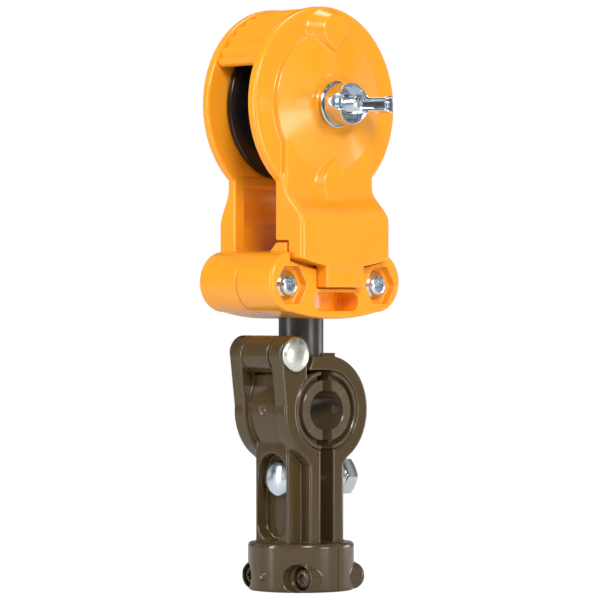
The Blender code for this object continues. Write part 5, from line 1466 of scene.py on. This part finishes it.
def wing_body():
    """Pressed nut: a drum with a rim round its threaded boss, and hollow wings with rounded ends."""
    centre = (WING_SPAN - WING_ROUND, WING_RISE - WING_ROUND)
    outside = [(WING_HUB_RADIUS, 0.0), (WING_HUB_RADIUS, WING_FOOT)] + arc(centre, WING_ROUND, -35, 125, 16)
    outside += [(WING_HUB_RADIUS - NUT_WALL, NUT_FRONT + NUT_WALL)]
    outside += [(WING_HUB_RADIUS - 3 * NUT_WALL, NUT_FRONT)]
    reach = WING_SPAN - POCKET_END_WALL
    low, high, inset = POCKET_CORNER
    hollow = [(WING_HUB_RADIUS - NUT_WALL, NUT_POCKET), (WING_HUB_RADIUS, NUT_POCKET + NUT_WALL / 2),
              (reach - inset, centre[1] - low), (reach, centre[1] + high), (reach, 2 * WING_RISE)]
    sides = (AXLE_HEIGHT - WING_SPAN, AXLE_HEIGHT + WING_SPAN)
    body = plate([nut_side_view(outside)], "Z", *sides)
    body = meet(body, plate([nut_front_view()], "Y", -2 * WING_RISE - nut_start, 0.0))
    pocket = plate([nut_side_view(hollow)], "Z", *sides)
    pocket = meet(pocket, plate([nut_front_view(NUT_WALL)], "Y", -4 * WING_RISE - nut_start, 0.0))
    radius = WING_HUB_TOP_RADIUS - NUT_WALL
    boss = rod("Y", -nut_start - NUT_FRONT + BOSS_SINK, -nut_start, radius, AXLE, MEDIUM)
    body = join(cut(body, pocket), boss)
    hole = rod("Y", -2 * WING_RISE - nut_start, 0.0, AXLE_RADIUS + TOUCH, AXLE, MEDIUM)
    return softened(cut(body, hole), WING_CELL, 4)


piece(wing_body(), "wing_nut_casting", "wing_nut", ["wing_nut"], ZINC)

finish_node("axle_sleeve", ZINC)
finish_node("thread_insert_front", BRONZE)
finish_node("thread_insert_back", BRONZE)
finish_node("thrust_washer", NYLON)


# Floor and light

def studio_card(name, size, centre, aim, strength, colour=(1.0, 1.0, 1.0)):
    lamp = bpy.data.lights.new(name, "AREA")
    lamp.shape = "RECTANGLE"
    lamp.size, lamp.size_y = size
    lamp.energy = strength
    lamp.color = colour
    item = placed(name, lamp, SCENE)
    item.location = centre
    item.rotation_euler = (Vector(aim) - Vector(centre)).to_track_quat("-Z", "Y").to_euler()
    return item


# The camera looks along a level line at the azimuth of the photograph
VIEW_AZIMUTH = math.radians(-44.6)
VIEW_HEIGHT = 0.1373
VIEW_DISTANCE = 1.7575
VIEW_SHIFT = -0.000475
LENS = 222.0
TOWARDS = Vector((math.sin(VIEW_AZIMUTH), -math.cos(VIEW_AZIMUTH), 0.0))
ACROSS = Vector((math.cos(VIEW_AZIMUTH), math.sin(VIEW_AZIMUTH), 0.0))


def seen(across, towards, height):
    """A point given by its distance to the camera's right, towards the camera and above the floor."""
    return tuple(ACROSS * across + TOWARDS * towards + Vector((0.0, 0.0, height)))


FLOOR_GAP = 0.0004            # how far the floor lies under the object
FLOOR_GLOW = 0.95             # share of the floor's white that no shadow takes away
FLOOR_TONE = 0.22             # share that the light on the floor adds


def background_rays(tree):
    """One where the camera sees the background, straight or through a clear piece, and none elsewhere."""
    rays = node(tree, "LightPath").outputs
    either = {0: rays["Is Camera Ray"], 1: rays["Is Transmission Ray"]}
    return node(tree, "Math", either, operation="MAXIMUM").outputs["Value"]


def floor_material():
    """A pale floor that reads as white and keeps a faint shadow."""
    item, tree, shader = surface("floor")
    fill(tree, shader, {"Base Color": (0.8, 0.8, 0.8, 1.0), "Roughness": 0.6, "Specular IOR Level": 0.1})
    plain = node(tree, "BsdfDiffuse", {"Color": (FLOOR_TONE, FLOOR_TONE, FLOOR_TONE, 1.0)})
    glow = node(tree, "Emission", {"Color": (1.0, 1.0, 1.0, 1.0), "Strength": FLOOR_GLOW})
    shown = node(tree, "AddShader", {0: plain.outputs["BSDF"], 1: glow.outputs["Emission"]})
    blend = node(tree, "MixShader", {
        "Fac": background_rays(tree), 1: shader.outputs["BSDF"], 2: shown.outputs["Shader"]})
    fill(tree, tree.nodes["Material Output"], {"Surface": blend.outputs["Shader"]})
    return item


WORLD_LOW = 0.40              # light from the horizon, as the object receives it
WORLD_HIGH = 0.22             # and from above and below
HORIZON_RISE, ZENITH_RISE = 0.05, 0.75    # where the one begins to turn into the other, and ends
PANEL_DARK = 0.08             # share of that light in the dark parts of the room
PANEL_BRIGHT = 1.75           # and in the bright ones
PANEL_SCALE = 2.6
PANEL_FROM, PANEL_TO = 0.42, 0.58


def white_world():
    """White for the camera; for the object a room of soft light and dark parts, brighter at the horizon."""
    world = bpy.data.worlds.new("studio")
    bpy.context.scene.world = world
    world.use_nodes = True
    tree = world.node_tree
    back = tree.nodes["Background"]
    back.inputs["Color"].default_value = (1.0, 1.0, 1.0, 1.0)
    place = node(tree, "TexCoord").outputs["Generated"]
    up = node(tree, "SeparateXYZ", {"Vector": place}).outputs["Z"]
    rise = node(tree, "Math", {0: up}, operation="ABSOLUTE").outputs["Value"]
    level = remap(tree, rise, WORLD_LOW, WORLD_HIGH, HORIZON_RISE, ZENITH_RISE)
    parts = node(tree, "TexNoise", {"Vector": place, "Scale": PANEL_SCALE, "Detail": 1.0}).outputs["Fac"]
    panels = remap(tree, parts, PANEL_DARK, PANEL_BRIGHT, PANEL_FROM, PANEL_TO)
    room = node(tree, "Math", {0: level, 1: panels}, operation="MULTIPLY").outputs["Value"]
    shown = node(tree, "Mix", {"B": 1.0, "Factor": background_rays(tree), "A": room})
    fill(tree, back, {"Strength": shown.outputs["Result"]})


ground = bpy.data.meshes.new("floor")
shape = bmesh.new()
bmesh.ops.create_grid(shape, x_segments=1, y_segments=1, size=3.0)
shape.to_mesh(ground)
shape.free()
floor = placed("floor", ground, SCENE)
floor.location = (0.0, 0.0, -FLOOR_GAP)
ground.materials.append(floor_material())
white_world()

LAMP_AIM = (0.0, 0.0, 0.15)
studio_card("key", (0.40, 0.40), seen(0.30, 1.05, 0.75), LAMP_AIM, 10.0)
studio_card("strip_left", (0.10, 0.80), seen(-0.85, 0.35, 0.35), LAMP_AIM, 4.6)
studio_card("card_right", (0.34, 0.34), seen(0.80, 0.60, 0.05), LAMP_AIM, 2.6)
studio_card("card_low", (0.17, 0.13), seen(0.40, -0.20, 0.07), (0.0, -0.03, 0.20), 0.35, (1.0, 0.90, 0.84))
studio_card("top", (0.45, 0.45), seen(0.0, -0.15, 1.0), LAMP_AIM, 3.6)

eye = bpy.data.cameras.new("photo_camera")
eye.lens = LENS
eye.sensor_width = 36.0
eye.clip_start = 0.05
camera = placed("photo_camera", eye, SCENE)
camera.location = TOWARDS * VIEW_DISTANCE + ACROSS * VIEW_SHIFT + Vector((0.0, 0.0, VIEW_HEIGHT))
camera.rotation_euler = (math.pi / 2, 0.0, VIEW_AZIMUTH)
bpy.context.scene.camera = camera
bpy.context.scene.view_settings.view_transform = "Standard"

bpy.data.collections.remove(WORK)
